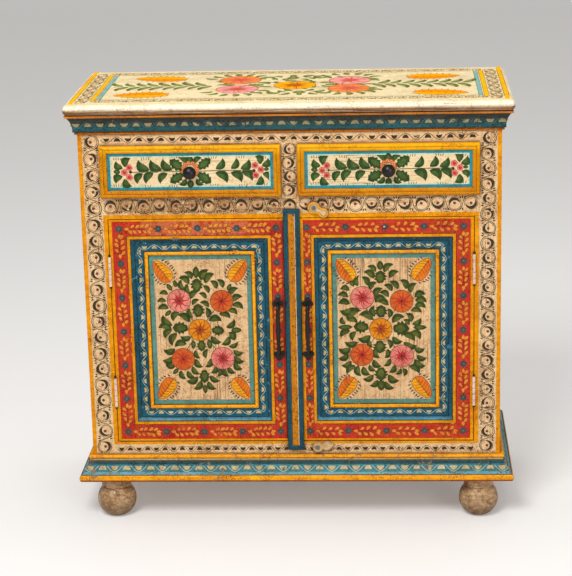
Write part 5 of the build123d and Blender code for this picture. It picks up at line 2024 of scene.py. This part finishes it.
for word in ("left", "right"):
    low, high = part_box(f"{word}_door_pull")
    forged_grip(f"{word}_door_grip", f"{word}_door", ((low.x + high.x) / 2, low.y + BAR),
                high.z - PLATE, low.z + PLATE, BAR + 0.05 * MM, BAR + 1.3 * MM)


# %% [markdown]
# The top is the board that shows most. Yellow stripes, a teal one and a chain of small swirls frame
# each end, and a green line and a longer chain run along the front and the back. All positions are
# in millimetres from the middle of the board.

# %% Top: borders
TOP_SWIRL_PAINTS = ("top_line", "top_brown", "top_rust")
END_CHAIN_U = 415.5
END_STRIPES = (
    ("top_yellow", 435.5, 9, None), ("top_yellow", 396, 9, (-148, 163)),
    ("top_teal", 384.5, 8, (-136, 150)),
)


def top_place(u, v):
    """A place on the top, from millimetres."""
    return u * MM, v * MM


top_low, top_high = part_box("top_board")
top = Picture("top_field", "carcass", top_at(top_high.z))
for side in (-1, 1):
    for colour, u, width, v_span in END_STRIPES:
        low_v, high_v = (v * MM for v in v_span) if v_span else (top_low.y + 20 * MM,
                                                                 top_high.y - 4 * MM)
        top.band(colour, (side * u * MM, low_v), (side * u * MM, high_v), width * MM)
        for edge in (u - width / 2, u + width / 2):
            top.band("top_brown", top_place(side * edge, -150), top_place(side * edge, 163),
                     0.9 * MM, 2)
    swirl_row(top, top_place(side * END_CHAIN_U, -164), top_place(side * END_CHAIN_U, 161), 13,
              11.2 * MM, TOP_SWIRL_PAINTS)
for line_v, chain_v in ((-136, -154), (150, 168)):
    top.band("top_green", top_place(-389, line_v), top_place(389, line_v), 1.8 * MM)
    swirl_row(top, top_place(-388, chain_v), top_place(388, chain_v), 29, 10.6 * MM,
              TOP_SWIRL_PAINTS)
print("borders of the top:", 2 * len(END_STRIPES), "stripes")


# %% [markdown]
# In the middle lies the bouquet of the doors, stretched across, with five wide blossoms. A leafy
# branch runs from it to each end.

# %% Top: blossoms and branches
TOP_BLOOMS = [(-111.5, 74.6), (119.2, 56.1), (6.3, 4.8), (-111.5, -33.6), (119.2, -39.3)]
TOP_ORANGE = ("top_orange", "top_rose", "top_rust", 1.12)
TOP_PINK = ("top_pink", "top_rose", "top_rust", 1.12)
TOP_GOLD = ("top_gold", "top_rust", "top_rust", 1.12)
TOP_COLOURS = [TOP_ORANGE, TOP_PINK, TOP_GOLD, TOP_PINK, TOP_ORANGE]
GREENS = ("top_green", "top_light")
BRANCH_LEAVES = 8
CROWN_LEAVES = 7

bouquet(top, top_place(6.3, 10), (2.05, 0.86), 1.2, (TOP_COLOURS, [88 * MM] * 5),
        [top_place(u, v) for u, v in TOP_BLOOMS], green=GREENS)
for side in (-1, 1):
    top.line("top_green", [top_place(side * 170, 12), top_place(side * 372, 6)], 2.4 * MM)
    for index in range(BRANCH_LEAVES):
        for lift in (-1, 1):
            kind = "curl" if lift * side < 0 else "curl_back"
            base = Vector(top_place(side * (172 + index * 25 + 6 * lift), 10 + 4 * lift))
            growth = (side * random.uniform(20, 26), lift * random.uniform(38, 50))
            shaded_leaf(top, GREENS, kind, base, base + Vector(top_place(*growth)), 0.36)
    for hub_v, lift in ((74, 1), (-40, -1)):
        hub = Vector(top_place(side * 115, hub_v))
        for index in range(CROWN_LEAVES):
            lean = math.radians(lift * (20 + index * 23))
            reach = Vector((math.cos(lean), math.sin(lean)))
            shaded_leaf(top, GREENS, "curl", hub + 48 * MM * reach, hub + 78 * MM * reach, 0.55)
print("leaves on the branches:", 4 * BRANCH_LEAVES)


# %% [markdown]
# Four long orange leaves fill the corners, each turned a little differently. Then the picture is
# complete, and its colours become pieces.

# %% Top: corner leaves
LONG_LEAF = 57 * MM
LONG_LEAVES = (
    ((-281.8, 100.4), 172), ((-303.5, -88.7), 184), ((293.8, 92), 4), ((305.8, -99.3), -8),
)
for centre, lean in LONG_LEAVES:
    turn = math.radians(lean)
    half = Vector((math.cos(turn), math.sin(turn))) * LONG_LEAF
    middle = Vector(top_place(*centre))
    corner_leaf(top, middle - half, middle + half, 60 * MM,
                ("top_gold", "top_flame", "top_rust", "top_brown"))
top.finish()


# %% [markdown]
# The sides repeat the language of the front: a yellow frame, a blue line inside it and the same
# bouquet in the middle, so that the sideboard is finished from every side that can be seen.

# %% Sides
SIDE_BLOOMS = ((-42, 62), (45, 60), (0, 0), (-38, -62), (45, -61))
SIDE_SCALE = (1.2, 1.75)
CHAIN = 26 * MM
CHAIN_START = 60 * MM
FRAME_INSET = 44 * MM
for word, side in (("left", -1), ("right", 1)):
    wall = Picture(f"{word}_side", "carcass", side_at(side, BODY_HALF))
    left_u, right_u = sorted((side * (FACE + 2 * MM), side * (BODY_BACK - 2 * MM)))
    low_v, high_v = FRAME_FOOT + 2 * MM, FRAME_TOP - 2 * MM
    wall.border("yellow", (left_u, right_u), (low_v, high_v), STRIPE)
    u_inner = (left_u + FRAME_INSET, right_u - FRAME_INSET)
    v_inner = (low_v + FRAME_INSET, high_v - FRAME_INSET)
    wall.border("yellow", u_inner, v_inner, 6 * MM)
    wall.border("teal", (u_inner[0] + 8 * MM, u_inner[1] - 8 * MM),
                (v_inner[0] + 8 * MM, v_inner[1] - 8 * MM), 10 * MM)
    for u in (left_u + CHAIN, right_u - CHAIN):
        swirl_row(wall, (u, low_v + CHAIN), (u, high_v - CHAIN), 19, SWIRL)
    for v in (low_v + CHAIN, high_v - CHAIN):
        swirl_row(wall, (left_u + CHAIN_START, v), (right_u - CHAIN_START, v), 8, SWIRL)
    centre = ((left_u + right_u) / 2, (low_v + high_v) / 2)
    blooms = [(centre[0] + u * SIDE_SCALE[0] * MM, centre[1] + v * SIDE_SCALE[1] * MM)
              for u, v in SIDE_BLOOMS]
    bouquet(wall, centre, SIDE_SCALE, 1.45, (BLOOM_COLOURS, [62 * MM] * 5), blooms)
    leaves_in_corners(wall, u_inner, v_inner, (24 * MM, 24 * MM), (44 * MM, 58 * MM), 34 * MM)
    wall.finish()
